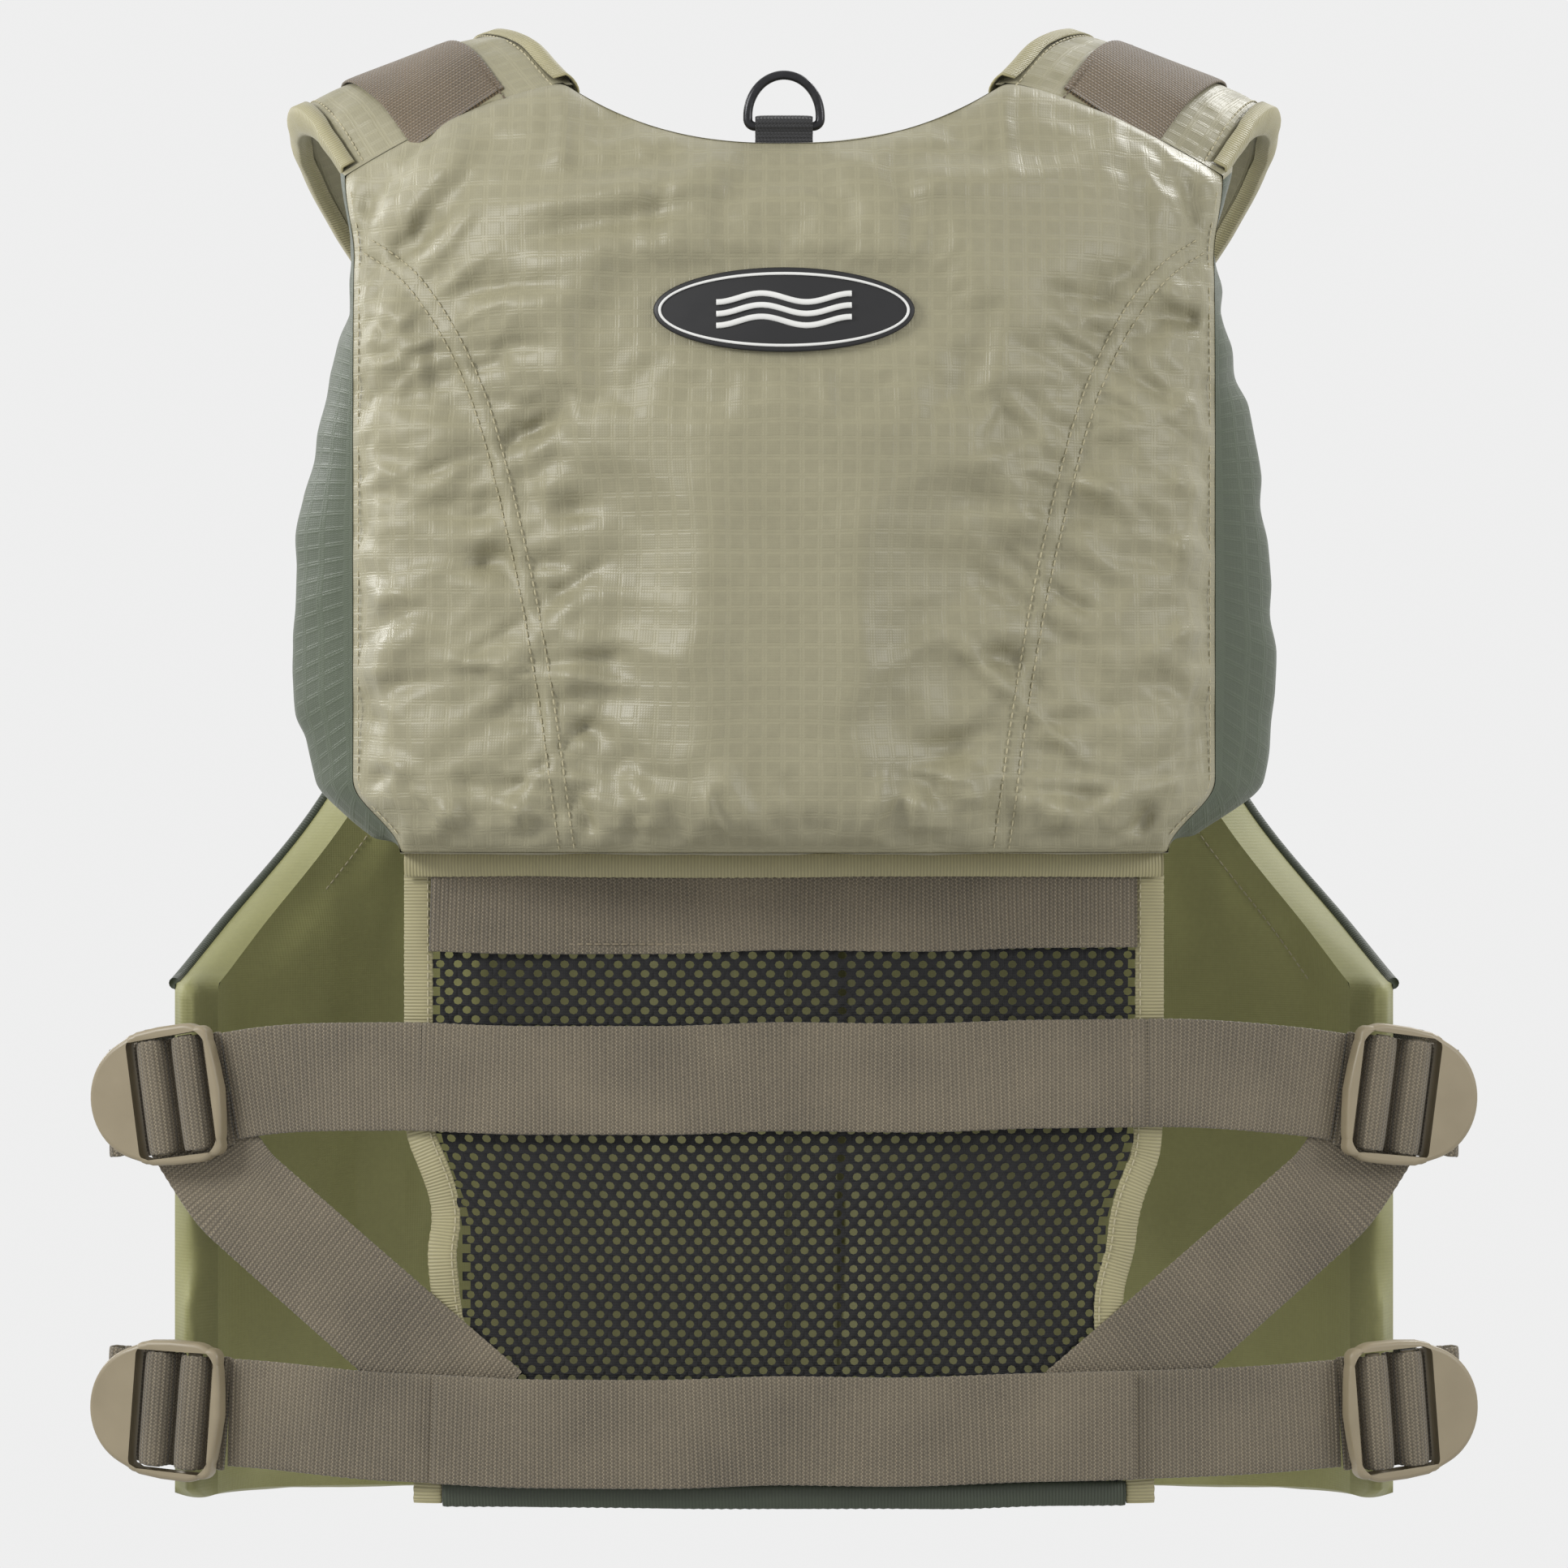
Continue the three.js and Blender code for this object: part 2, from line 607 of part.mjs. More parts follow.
// Webbing threaded through the window: over both bars, down between them and out under the lobe.
function threadedWebbing() {
  const side = BAR_WIDTH / 2 + GAP + WEBBING / 2 + 0.6;
  const over = BAR_THICKNESS / 2 + GAP + WEBBING / 2;
  const rise = (bar) => [
    [bar - side, -1.8],
    [bar - side + 0.1, 0.9],
    [bar - 2, over + 0.5],
    [bar, over + 0.8],
    [bar + 2, over + 0.5],
    [bar + side - 0.1, 0.9],
    [bar + side, -1.8],
  ];
  const corner = 1.3; // from the window's edges to the strap's middle, where it turns
  const path = new THREE.SplineCurve(
    [
      [GAP / 2 - BUCKLE_HALF_LENGTH, -STRAP_DEPTH],
      [WINDOW_START - 1, -STRAP_DEPTH],
      [WINDOW_START + corner, 0.6 - STRAP_DEPTH],
      ...rise(FIRST_BAR),
      [(FIRST_BAR + SECOND_BAR) / 2, 1 - STRAP_DEPTH],
      ...rise(SECOND_BAR),
      [WINDOW_END - corner, 0.6 - STRAP_DEPTH],
      [WINDOW_END + 1, -STRAP_DEPTH],
      [WINDOW_END + 9, -STRAP_DEPTH],
    ].map(([x, d]) => new THREE.Vector2(x, d)),
  );
  const sheet = (offset) => (u, v) => {
    const p = path.getPoint(u);
    const along = path.getTangent(u);
    return [
      p.x - along.y * offset,
      (v - 0.5) * WEBBING_WIDTH,
      -(p.y + along.x * offset),
    ];
  };
  return sheetSolid(sheet(WEBBING / 2), sheet(-WEBBING / 2), steps(36), [0, 1]);
}

// A buckle with its webbing. start is the strap's end point at the middle of its thickness,
// along points to the lobe and out away from the wearer.
function buckle(names, start, along, out) {
  const group = new THREE.Group();
  const z = out.clone().negate();
  const y = new THREE.Vector3().crossVectors(z, along).normalize();
  z.crossVectors(along, y);
  group.setRotationFromMatrix(new THREE.Matrix4().makeBasis(along, y, z));
  group.position
    .copy(start)
    .addScaledVector(along, BUCKLE_HALF_LENGTH)
    .addScaledVector(z, -STRAP_DEPTH);
  group.add(
    piece(names.frame, buckleFrame(), BUCKLE_PLASTIC),
    piece(names.webbing, threadedWebbing(), TAUPE_WEBBING),
  );
  return group;
}

function backBuckle(level, side, centre) {
  const slope = (-2 * BACK_BOW * STRAP_END) / BOW_REACH ** 2;
  const fall = centre(STRAP_END) - centre(STRAP_END - 1);
  const along = new THREE.Vector3(1, slope, fall).normalize();
  const out = new THREE.Vector3(-slope, 1, 0).normalize();
  const y = bow(STRAP_END) + STRAP_LIFT + WEBBING / 2;
  const start = new THREE.Vector3(STRAP_END, y, centre(STRAP_END));
  const names = {
    frame: `${level}_buckle_${side}`,
    webbing: `${level}_buckle_webbing_${side}`,
  };
  return buckle(names, start, along, out);
}

// ---------------------------------------------------------------- front panels

const DEGREE = Math.PI / 180;
const frontLean = (z) => FRONT_LEAN * Math.max(0, z - FRONT_LEAN_FROM) ** 2;
const angleOf = (x) => Math.asin(Math.min(1, x / FRONT_HALF_WIDTH));
const frontThickness = (angle) =>
  FRONT_SIDE_THICKNESS + (FRONT_THICKNESS - FRONT_SIDE_THICKNESS) * Math.cos(angle) ** 2;

// A point lift millimetres out from the body side of a front panel.
function onFront(angle, z, lift) {
  const normal = new THREE.Vector2(
    FRONT_DEPTH * Math.sin(angle),
    -FRONT_HALF_WIDTH * Math.cos(angle),
  ).normalize();
  return [
    FRONT_HALF_WIDTH * Math.sin(angle) + lift * normal.x,
    FRONT_CENTRE_Y - FRONT_DEPTH * Math.cos(angle) + frontLean(z) + lift * normal.y,
    z,
  ];
}

// Angle of the outward direction there, turned from straight ahead towards the side.
const outwardTurn = (angle) =>
  Math.atan2(FRONT_DEPTH * Math.sin(angle), FRONT_HALF_WIDTH * Math.cos(angle));

const armhole = new THREE.SplineCurve(
  [
    [FRONT_HALF_WIDTH * Math.sin(FRONT_SIDE_ANGLE * DEGREE), ARM_START],
    [FRONT_HALF_WIDTH * 0.93, ARM_START + 20],
    [FRONT_HALF_WIDTH * 0.77, ARM_START + 66],
    [lerp(ARM_TOP, FRONT_HALF_WIDTH, 0.16), lerp(ARM_START + 66, FRONT_TOP, 0.4)],
    [ARM_TOP, FRONT_TOP],
  ].map(([x, z]) => new THREE.Vector2(x, z)),
).getPoints(40);

// Distance from the centre line to the arm side of the panel at each height.
function armSide(z) {
  if (z <= ARM_START) return armhole[0].x;
  const after = armhole.findIndex((p) => p.y >= z);
  if (after < 1) return armhole[armhole.length - 1].x;
  const [a, b] = [armhole[after - 1], armhole[after]];
  return lerp(a.x, b.x, (z - a.y) / (b.y - a.y));
}

const zipSide = (z) =>
  ZIP_EDGE + (FRONT_NECK - ZIP_EDGE) * clamp01((z - ZIP_TOP) / (FRONT_TOP - ZIP_TOP)) ** 0.8;

// A point of a front panel, with the same meaning as inFloat.
function inFront(u, v, lift, inset) {
  const hem = FRONT_HEM_RISE * u ** 3;
  const z = lerp(hem + inset, FRONT_TOP - inset, v);
  const x = lerp(zipSide(z) + inset, armSide(z) - inset, u);
  const angle = angleOf(x);
  return onFront(angle, z, lift * frontThickness(angle));
}

const FRONT_ROWS = [0, 0.12, 0.24, 0.36, 0.48, 0.53, 0.58, 0.66, 0.75, 0.87, 0.94, 1];
const FRONT_COLUMNS = steps(7);

// Shares of the panel's thickness for a skin on its body side and on its outer side.
const INNER_SKIN = SKIN / FRONT_SIDE_THICKNESS;
const SPACE = (SKIN + GAP) / FRONT_SIDE_THICKNESS;
const FOAM_SPACE = (SKIN + FOAM_GAP) / FRONT_SIDE_THICKNESS;

function frontPanel(side) {
  const ring = (lift, inset) => ({ lift: () => lift, inset: () => inset });
  const cover = traySolid(
    inFront,
    [ring(SPACE, 0), ring(1, 0)],
    [ring(SPACE, SKIN), ring(1 - INNER_SKIN, SKIN)],
    FRONT_COLUMNS,
    FRONT_ROWS,
  );
  const lining = sheetSolid(
    (u, v) => inFront(u, v, INNER_SKIN, 0),
    (u, v) => inFront(u, v, 0, 0),
    FRONT_COLUMNS,
    FRONT_ROWS,
  );
  const foam = sheetSolid(
    (u, v) => inFront(u, v, 1 - FOAM_SPACE, SKIN + FOAM_GAP),
    (u, v) => inFront(u, v, FOAM_SPACE, SKIN + FOAM_GAP),
    FRONT_COLUMNS,
    FRONT_ROWS,
  );
  return [
    piece("front_cover_" + side, cover, SAGE),
    piece("front_lining_" + side, lining, OLIVE),
    piece("front_foam_" + side, foam, FOAM),
  ];
}

// A patch on a panel's outer face between two heights over it.
function onCover(angleAt, zAt, low, high, us, vs) {
  const sheet = (height) => (u, v) => {
    const angle = angleAt(u);
    const raised = typeof height === "function" ? height(u, v) : height;
    return onFront(angle, zAt(u, v), frontThickness(angle) + raised);
  };
  return sheetSolid(sheet(high), sheet(low), us, vs);
}

function pocket(side) {
  const angles = (u) => lerp(angleOf(POCKET.x0), angleOf(POCKET.x1), u);
  const depth = (u, v) => (onEdge(u, v) ? POCKET_EDGE_DEPTH : POCKET_DEPTH);
  const ends = [0, 0.06, 0.22, 0.4, 0.6, 0.8, 0.94, 1];
  const body = onCover(
    angles,
    (u, v) => lerp(POCKET.z0, POCKET.z1, v),
    POCKET_GAP,
    depth,
    ends,
    [0, 0.06, 0.5, 0.94, 1],
  );
  return piece("pocket_" + side, body, KHAKI);
}

// A strap sewn to the side of the panel, reaching back under the buckle's lobe.
function sideWebbing(level, side, z) {
  const geometry = onCover(
    (u) => lerp(56, 89, u) * DEGREE,
    (u, v) => z + (v - 0.5) * WEBBING_WIDTH,
    GAP,
    GAP + WEBBING,
    steps(8),
    [0, 1],
  );
  return piece(`side_webbing_${level}_${side}`, geometry, TAUPE_WEBBING);
}

function shoulderAnchor(side, x) {
  const half = Math.asin(WEBBING_WIDTH / 2 / (FRONT_HALF_WIDTH + FRONT_THICKNESS / 2));
  const geometry = onCover(
    (u) => angleOf(x) + lerp(-half, half, u),
    (u, v) => lerp(FRONT_TOP - 52, FRONT_TOP - 8, v),
    GAP,
    GAP + WEBBING,
    steps(4),
    steps(4),
  );
  return piece("shoulder_anchor_" + side, geometry, TAUPE_WEBBING);
}

// ---------------------------------------------------------------- zips

// A zip's own frame: -Y away from the wearer, X across, Z up. Heights are over the cover.
const TEETH_MIDDLE = SLIDER.plate + 2 * GAP + TOOTH_HEIGHT / 2;
const SLIDER_FRONT = TEETH_MIDDLE + TOOTH_HEIGHT / 2 + GAP + SLIDER.plate;
const PULL_AXIS = SLIDER_FRONT + BRIDGE.tunnel / 2;

function zipHalf(side) {
  const toothEnd = ZIP_SPLIT + TOOTH_WIDTH;
  const half = TOOTH_HEIGHT / 2;
  const profile = new THREE.Shape(
    [
      [ZIP_SPLIT, TEETH_MIDDLE - half],
      [toothEnd, TEETH_MIDDLE - half],
      [toothEnd, TEETH_MIDDLE - TAPE / 2],
      [toothEnd + TAPE_WIDTH, TEETH_MIDDLE - TAPE / 2],
      [toothEnd + TAPE_WIDTH, TEETH_MIDDLE + TAPE / 2],
      [toothEnd, TEETH_MIDDLE + TAPE / 2],
      [toothEnd, TEETH_MIDDLE + half],
      [ZIP_SPLIT, TEETH_MIDDLE + half],
    ].map(([x, y]) => new THREE.Vector2(x, -y)),
  );
  const geometry = new THREE.ExtrudeGeometry(profile, {
    depth: ZIP_TOP - SLIDER.length - ZIP_CLEAR - ZIP_BOTTOM,
    bevelEnabled: false,
  });
  const mesh = piece("zip_half_" + side, geometry, ZIP_TEETH);
  mesh.position.set(0, onFront(0, 0, FRONT_THICKNESS)[1], ZIP_BOTTOM);
  return mesh;
}

function bridge(front) {
  const arch = front + BRIDGE.tunnel;
  const half = BRIDGE.width / 2;
  const legOf = (z) => boxBetween([-half, -arch, z], [half, 0.1 - front, z + BRIDGE.leg]);
  return [
    boxBetween([-half, -arch - BRIDGE.leg, -BRIDGE.half], [half, -arch, BRIDGE.half]),
    legOf(-BRIDGE.half),
    legOf(BRIDGE.half - BRIDGE.leg),
  ];
}

// The main slider: two plates joined by a blade that runs in the slit between the teeth.
function mainSlider() {
  const half = SLIDER.width / 2;
  const end = SLIDER.length / 2;
  const back = GAP + SLIDER.plate;
  const blade = ZIP_SPLIT - GAP / 2 - 0.1;
  return joined(
    boxBetween([-half, -back, -end], [half, -GAP, end]),
    boxBetween([-half, -SLIDER_FRONT, -end], [half, SLIDER.plate - SLIDER_FRONT, end]),
    boxBetween([-blade, 0.1 - SLIDER_FRONT, end - 4], [blade, 0.1 - back, end]),
    ...bridge(SLIDER_FRONT),
  );
}

// A pull tab hanging from its crossbar, which lies on the frame's X axis.
function pullTab() {
  const half = PULL.width / 2;
  const top = PULL.rail / 2;
  const shape = new THREE.Shape();
  shape.moveTo(-half, top);
  shape.lineTo(-half, 3 - PULL.length);
  shape.quadraticCurveTo(-half, -PULL.length, 0, -PULL.length);
  shape.quadraticCurveTo(half, -PULL.length, half, 3 - PULL.length);
  shape.lineTo(half, top);
  const eye = new THREE.Path();
  eye.moveTo(PULL.rail - half, -top);
  eye.lineTo(half - PULL.rail, -top);
  eye.lineTo(half - PULL.rail, -PULL.eye);
  eye.lineTo(PULL.rail - half, -PULL.eye);
  shape.holes.push(eye);
  const geometry = new THREE.ExtrudeGeometry(shape, {
    depth: PULL.thickness,
    bevelEnabled: false,
    curveSegments: 4,
  });
  geometry.translate(0, 0, -PULL.thickness / 2);
  return geometry.rotateX(Math.PI / 2);
}

function mainZipSlider() {
  const group = new THREE.Group();
  const pull = piece("zip_pull", pullTab(), ZIP_TEETH);
  pull.position.y = -PULL_AXIS;
  group.add(piece("zip_slider", mainSlider(), ZIP_TEETH), pull);
  group.position.set(0, onFront(0, 0, FRONT_THICKNESS)[1], ZIP_TOP - SLIDER.length / 2);
  return group;
}

const POCKET_ZIP_HEIGHT = 1.6;

// A pocket's zip: a flat strip of closed teeth, and a slider that rides on its face.
function pocketZip(side) {
  const angle = angleOf(POCKET_ZIP.x);
  const half = POCKET_ZIP.width / 2;
  const group = new THREE.Group();
  group.position.set(...onFront(angle, 0, frontThickness(angle) + POCKET_DEPTH + GAP));
  group.rotation.z = outwardTurn(angle);
  const strip = boxBetween(
    [-half, -POCKET_ZIP_HEIGHT, POCKET_ZIP.z0],
    [half, 0, POCKET_ZIP.z1],
  );
  const face = POCKET_ZIP_HEIGHT + GAP;
  const end = SLIDER.length / 2;
  const slider = joined(
    boxBetween([-SLIDER.width / 2, -face - SLIDER.plate, -end], [SLIDER.width / 2, -face, end]),
    ...bridge(face + SLIDER.plate),
  );
  const moving = new THREE.Group();
  moving.position.z = POCKET_ZIP.z1 - end - GAP;
  const pull = piece("pocket_pull_" + side, pullTab(), ZIP_TEETH);
  pull.position.y = -(face + SLIDER.plate + BRIDGE.tunnel / 2);
  moving.add(piece("pocket_slider_" + side, slider, ZIP_TEETH), pull);
  group.add(piece("pocket_zip_" + side, strip, ZIP_TEETH), moving);
  return group;
}

// ---------------------------------------------------------------- shoulder straps

const SEAM_Y = (x, z) => floatFace(x, z) - FLOAT_EDGE_ROLL;
const SEAM_TOP = NECK_BACK + NECK_RISE;
const SEAM_END = SEAM_TOP - SHOULDER_DROP;
const SEAM_IN = FLOAT_HALF_WIDTH / 2;
const SEAM_OUT = FLOAT_HALF_WIDTH + SHOULDER_FLARE;

// The strap's top face runs between these two edges, from the shoulder seam over the ridge
// to the front. Each point is measured from the seam's end.
const neckEdge = new THREE.CatmullRomCurve3(
  [
    [0, 0, 0],
    [13, -21, 16],
    [26, -49, 23],
    [32, -77, 22],
    [30, -105, 10],
    [21, -133, -14],
    [10, -155, -45],
    [2, -169, -71],
  ].map(([x, y, z]) => new THREE.Vector3(x + SEAM_IN, y + SEAM_Y(SEAM_IN, SEAM_TOP), z + SEAM_TOP)),
);
const armEdge = new THREE.CatmullRomCurve3(
  [
    [0, 0, 0],
    [10, -18, 17],
    [19, -40, 27],
    [23, -64, 26],
    [20, -88, 14],
    [10, -112, -6],
    [-5, -132, -30],
    [-17, -146, -52],
  ].map(
    ([x, y, z]) => new THREE.Vector3(x + SEAM_OUT, y + SEAM_Y(SEAM_OUT, SEAM_END), z + SEAM_END),
  ),
);

// Direction from the strap's top face to the wearer: forward at the seam, down at the ridge.
function padInward(t) {
  const turn = Math.PI * 0.86 * t;
  return new THREE.Vector3(0, -Math.cos(turn), -Math.sin(turn));
}

// A point depth millimetres inside the strap's top face, u from the neck edge to the arm edge.
function onPad(u, t, depth) {
  const p = neckEdge.getPoint(t).lerp(armEdge.getPoint(t), u);
  const seamShare = lerp(0.5, 1, u);
  const straight = lerp(SEAM_TOP, SEAM_END, u);
  p.z += (floatTop(seamShare) - straight) * (1 - t) ** 3 + SEAM_GAP;
  return p.addScaledVector(padInward(t), depth).toArray();
}

function shoulderStrap(side) {
  const ts = steps(14);
  const padUs = [0, 0.12, 0.37, 0.63, 0.88, 1];
  const edgeRound = (u) => (u === 0 || u === 1 ? PAD_THICKNESS / 3 : 0);
  const pad = sheetSolid(
    (u, t) => onPad(u, t, edgeRound(u)),
    (u, t) => onPad(u, t, PAD_THICKNESS - edgeRound(u)),
    padUs,
    ts,
  );
  const across = (u) => 0.5 + (2 * u - 1) * PAD_WEBBING_SHARE;
  const webbing = sheetSolid(
    (u, t) => onPad(across(u), t, -GAP - WEBBING),
    (u, t) => onPad(across(u), t, -GAP),
    steps(2),
    ts,
  );
  return [
    piece("shoulder_pad_" + side, pad, KHAKI),
    piece("shoulder_webbing_" + side, webbing, TAUPE_WEBBING),
  ];
}

function shoulderBuckle(side) {
  const middle = (t) => new THREE.Vector3(...onPad(0.5, t, -GAP - WEBBING / 2));
  const end = middle(1);
  const run = end.clone().sub(middle(0.97));
  const across = armEdge.getPoint(1).sub(neckEdge.getPoint(1)).normalize();
  const out = new THREE.Vector3().crossVectors(run, across).normalize();
  const along = new THREE.Vector3().crossVectors(across, out);
  const names = {
    frame: "shoulder_buckle_" + side,
    webbing: "shoulder_buckle_webbing_" + side,
  };
  const start = end.addScaledVector(along, GAP);
  return buckle(names, start, along, out);
}

// ---------------------------------------------------------------- assembly

// Everything that comes once on each side, built for the wearer's left.
function sideOf(side) {
  const group = new THREE.Group();
  group.add(
    sideBinding(side),
    ...backStraps(side),
    backBuckle("mid", side, midStrapCentre),
    backBuckle("lower", side, lowStrapCentre),
    ...shoulderStrap(side),
    shoulderBuckle(side),
    ...frontPanel(side),
    pocket(side),
    pocketZip(side),
    zipHalf(side),
    sideWebbing("mid", side, MID_STRAP_Z - MID_STRAP_DROP),
    sideWebbing("lower", side, LOW_STRAP_Z + LOW_STRAP_RISE),
    shoulderAnchor(side, 88),
  );
  return group;
}

const left = sideOf("left");
const right = sideOf("right");
right.scale.x = -1;

const fromHem = new THREE.Group();
fromHem.position.z = -SHOULDER_REST;
fromHem.add(
  ...backFloat(),
  badge(),
  collarTab(),
  collarRing(),
  ...meshPanel(),
  ...centreStraps(),
  mainZipSlider(),
  left,
  right,
);

const vest = new THREE.Group();
vest.add(fromHem);

export default vest;
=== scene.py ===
import math

import bpy
import numpy as np
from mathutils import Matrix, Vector


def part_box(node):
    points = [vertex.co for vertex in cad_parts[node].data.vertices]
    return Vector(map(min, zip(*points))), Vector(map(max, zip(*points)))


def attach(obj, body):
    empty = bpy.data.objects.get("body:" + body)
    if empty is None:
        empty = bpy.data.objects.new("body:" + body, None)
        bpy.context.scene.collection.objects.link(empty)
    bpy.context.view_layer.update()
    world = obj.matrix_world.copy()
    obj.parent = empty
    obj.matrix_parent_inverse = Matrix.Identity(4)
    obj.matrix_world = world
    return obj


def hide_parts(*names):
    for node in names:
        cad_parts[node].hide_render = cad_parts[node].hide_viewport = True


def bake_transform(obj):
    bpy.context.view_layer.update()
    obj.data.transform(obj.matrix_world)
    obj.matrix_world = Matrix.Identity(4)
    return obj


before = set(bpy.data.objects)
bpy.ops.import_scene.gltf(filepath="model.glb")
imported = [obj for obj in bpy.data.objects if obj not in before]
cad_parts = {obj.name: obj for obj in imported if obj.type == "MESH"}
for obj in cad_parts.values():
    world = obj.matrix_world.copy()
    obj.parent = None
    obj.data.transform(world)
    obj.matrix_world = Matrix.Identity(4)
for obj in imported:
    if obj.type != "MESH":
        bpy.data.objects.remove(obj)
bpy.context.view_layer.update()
SCENE = bpy.context.scene

# ---------------------------------------------------------------- sizes, in millimetres

MM = 0.001
SHOULDER_REST = 498
LEFT, RIGHT = 1, -1
SIDES = {LEFT: "left", RIGHT: "right"}


def node_corners(node):
    """A CAD node's lowest and highest corners at rest, in millimetres above the hem."""
    return [np.array(corner) / MM + (0, 0, SHOULDER_REST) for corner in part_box(node)]


COVER_LOW, COVER_HIGH = node_corners("back_cover")
MESH_LOW, MESH_HIGH = node_corners("mesh_panel")
MID_LOW, MID_HIGH = node_corners("mid_strap_centre")
LOWER_LOW, LOWER_HIGH = node_corners("lower_strap_centre")
LINING_LOW, LINING_HIGH = node_corners("front_lining_left")
POCKET_LOW, POCKET_HIGH = node_corners("pocket_left")
BADGE_LOW, BADGE_HIGH = node_corners("badge_patch")

WEBBING_WIDTH = MID_HIGH[2] - MID_LOW[2]
WEBBING = 1.6

BACK_Y = MESH_HIGH[1] - 0.5
BACK_BOW = 38
BOW_REACH = 220

SHOULDER_FLARE = 4
FLOAT_HALF_WIDTH = COVER_HIGH[0] - SHOULDER_FLARE
FLOAT_BOTTOM = COVER_LOW[2]
FLOAT_THICKNESS = 50
FLOAT_ROLL = 10
FLOAT_ROLL_WIDTH = 24
FLOAT_CORNER = 17
FLOAT_OUTER_Y = COVER_HIGH[1]
FLOAT_BOW = 40
FLOAT_LEAN_FROM = 400
FLOAT_LEAN = 0.003
GUSSET_BULGE = 21
NECK_RISE = 23.5
SHOULDER_DROP = 31
SEAM_TOP = COVER_HIGH[2]
NECK_BACK = SEAM_TOP - NECK_RISE
SEAM_END = SEAM_TOP - SHOULDER_DROP
SEAM_IN = FLOAT_HALF_WIDTH / 2
SEAM_OUT = FLOAT_HALF_WIDTH + SHOULDER_FLARE

MESH_HALF_WIDTH = MESH_HIGH[0]
MESH_BOTTOM = MESH_LOW[2]
MESH_TOP = MESH_HIGH[2]
MESH_WAIST = 11
BINDING_WIDTH = 10.5

MID_STRAP_Z = (MID_LOW[2] + MID_HIGH[2]) / 2
MID_STRAP_DROP = 5
MID_STRAP_SEAM = MID_HIGH[0] + 0.4
LOW_STRAP_Z = (LOWER_LOW[2] + LOWER_HIGH[2]) / 2
LOW_STRAP_RISE = 3
LOW_STRAP_SEAM = LOWER_HIGH[0]
STRAP_END = 195
STRAP_LIFT = 3.4
DIAGONAL_LIFT = 2.2
DIAGONAL_FROM = (103, 43)
DIAGONAL_TO = (206, 130)

BUCKLE_HALF_LENGTH = 24.5
BUCKLE_THICKNESS = 8
BUCKLE_SIDE_BAR = 5
WINDOW_LENGTH = 26.5
WINDOW_START = BUCKLE_SIDE_BAR - BUCKLE_HALF_LENGTH
WINDOW_END = WINDOW_START + WINDOW_LENGTH
FIRST_BAR = WINDOW_START + 6.8
SECOND_BAR = FIRST_BAR + 13.2
STRAP_DEPTH = 5.2

FRONT_HALF_WIDTH = 203
FRONT_DEPTH = 125
FRONT_CENTRE_Y = 25
FRONT_SIDE = math.radians(84)
FRONT_THICKNESS = 42
FRONT_SIDE_THICKNESS = 24
FRONT_ROLL = 9
FRONT_ROLL_WIDTH = 16
FRONT_TOP = LINING_HIGH[2]
FRONT_LEAN_FROM = 345
FRONT_LEAN = 0.008
FRONT_HEM_RISE = 8
ZIP_TOP = 345
ZIP_EDGE = LINING_LOW[0]
ZIP_BOTTOM = 6
FRONT_NECK = 62
ARM_TOP = 118
ARM_START = 190
POCKET = {
    "x0": 24,
    "x1": 0.75 * FRONT_HALF_WIDTH,
    "z0": POCKET_LOW[2],
    "z1": POCKET_HIGH[2],
    "depth": 24,
}
POCKET_ZIP_X = 52

ANCHOR_X = 88
PAD_THICKNESS = 12
PAD_LENGTH = 215
PAD_TUCK = 0.014  # the share of its length that a shoulder strap reaches in under the float's edge

# ---------------------------------------------------------------- colours, linear

KHAKI = (0.24, 0.222, 0.142)
SAGE = (0.049, 0.063, 0.037)
OLIVE = (0.29, 0.285, 0.11)
TAUPE = (0.148, 0.122, 0.081)
BROWN = (0.12, 0.085, 0.046)
TAN = (0.235, 0.195, 0.125)
BEIGE = (0.29, 0.262, 0.14)
BLACK = (0.008, 0.008, 0.009)
DARK_ZIP = (0.035, 0.031, 0.024)
THREAD = (0.35, 0.315, 0.2)
BADGE_BLACK = (0.006, 0.006, 0.007)
BADGE_WHITE = (0.62, 0.62, 0.6)
RING_METAL = (0.02, 0.02, 0.022)
SLIDER_METAL = (0.06, 0.055, 0.045)
FLOOR_GREY = (0.5, 0.5, 0.5)

# ---------------------------------------------------------------- surfaces


def smooth(low, high, x):
    t = np.clip((x - low) / (high - low), 0, 1)
    return t * t * (3 - 2 * t)


def noise(x, y, size, seed):
    """Smooth random values from -1 to 1 over a plane, with features of the given size."""
    table = np.random.default_rng(seed).uniform(-1, 1, (64, 64))
    gx, gy = np.broadcast_arrays(np.asarray(x) / size, np.asarray(y) / size)
    ix, iy = np.floor(gx).astype(int), np.floor(gy).astype(int)
    fx, fy = gx - ix, gy - iy
    fx, fy = fx * fx * (3 - 2 * fx), fy * fy * (3 - 2 * fy)
    low = table[ix % 64, iy % 64] * (1 - fx) + table[(ix + 1) % 64, iy % 64] * fx
    high = table[ix % 64, (iy + 1) % 64] * (1 - fx) + table[(ix + 1) % 64, (iy + 1) % 64] * fx
    return low * (1 - fy) + high * fy


def back_curve(x):
    return BACK_Y - BACK_BOW * (np.asarray(x) / BOW_REACH) ** 2


def float_top(share):
    across = np.abs(share) * 2
    neck = NECK_BACK + NECK_RISE * np.minimum(across, 1) ** 2.4
    return neck - SHOULDER_DROP * np.maximum(across - 1, 0) ** 1.45


def float_half_width(z):
    corner = FLOAT_CORNER * (1 - smooth(FLOAT_BOTTOM, FLOAT_BOTTOM + 25, z))
    return FLOAT_HALF_WIDTH - corner + SHOULDER_FLARE * smooth(445, 475, z)


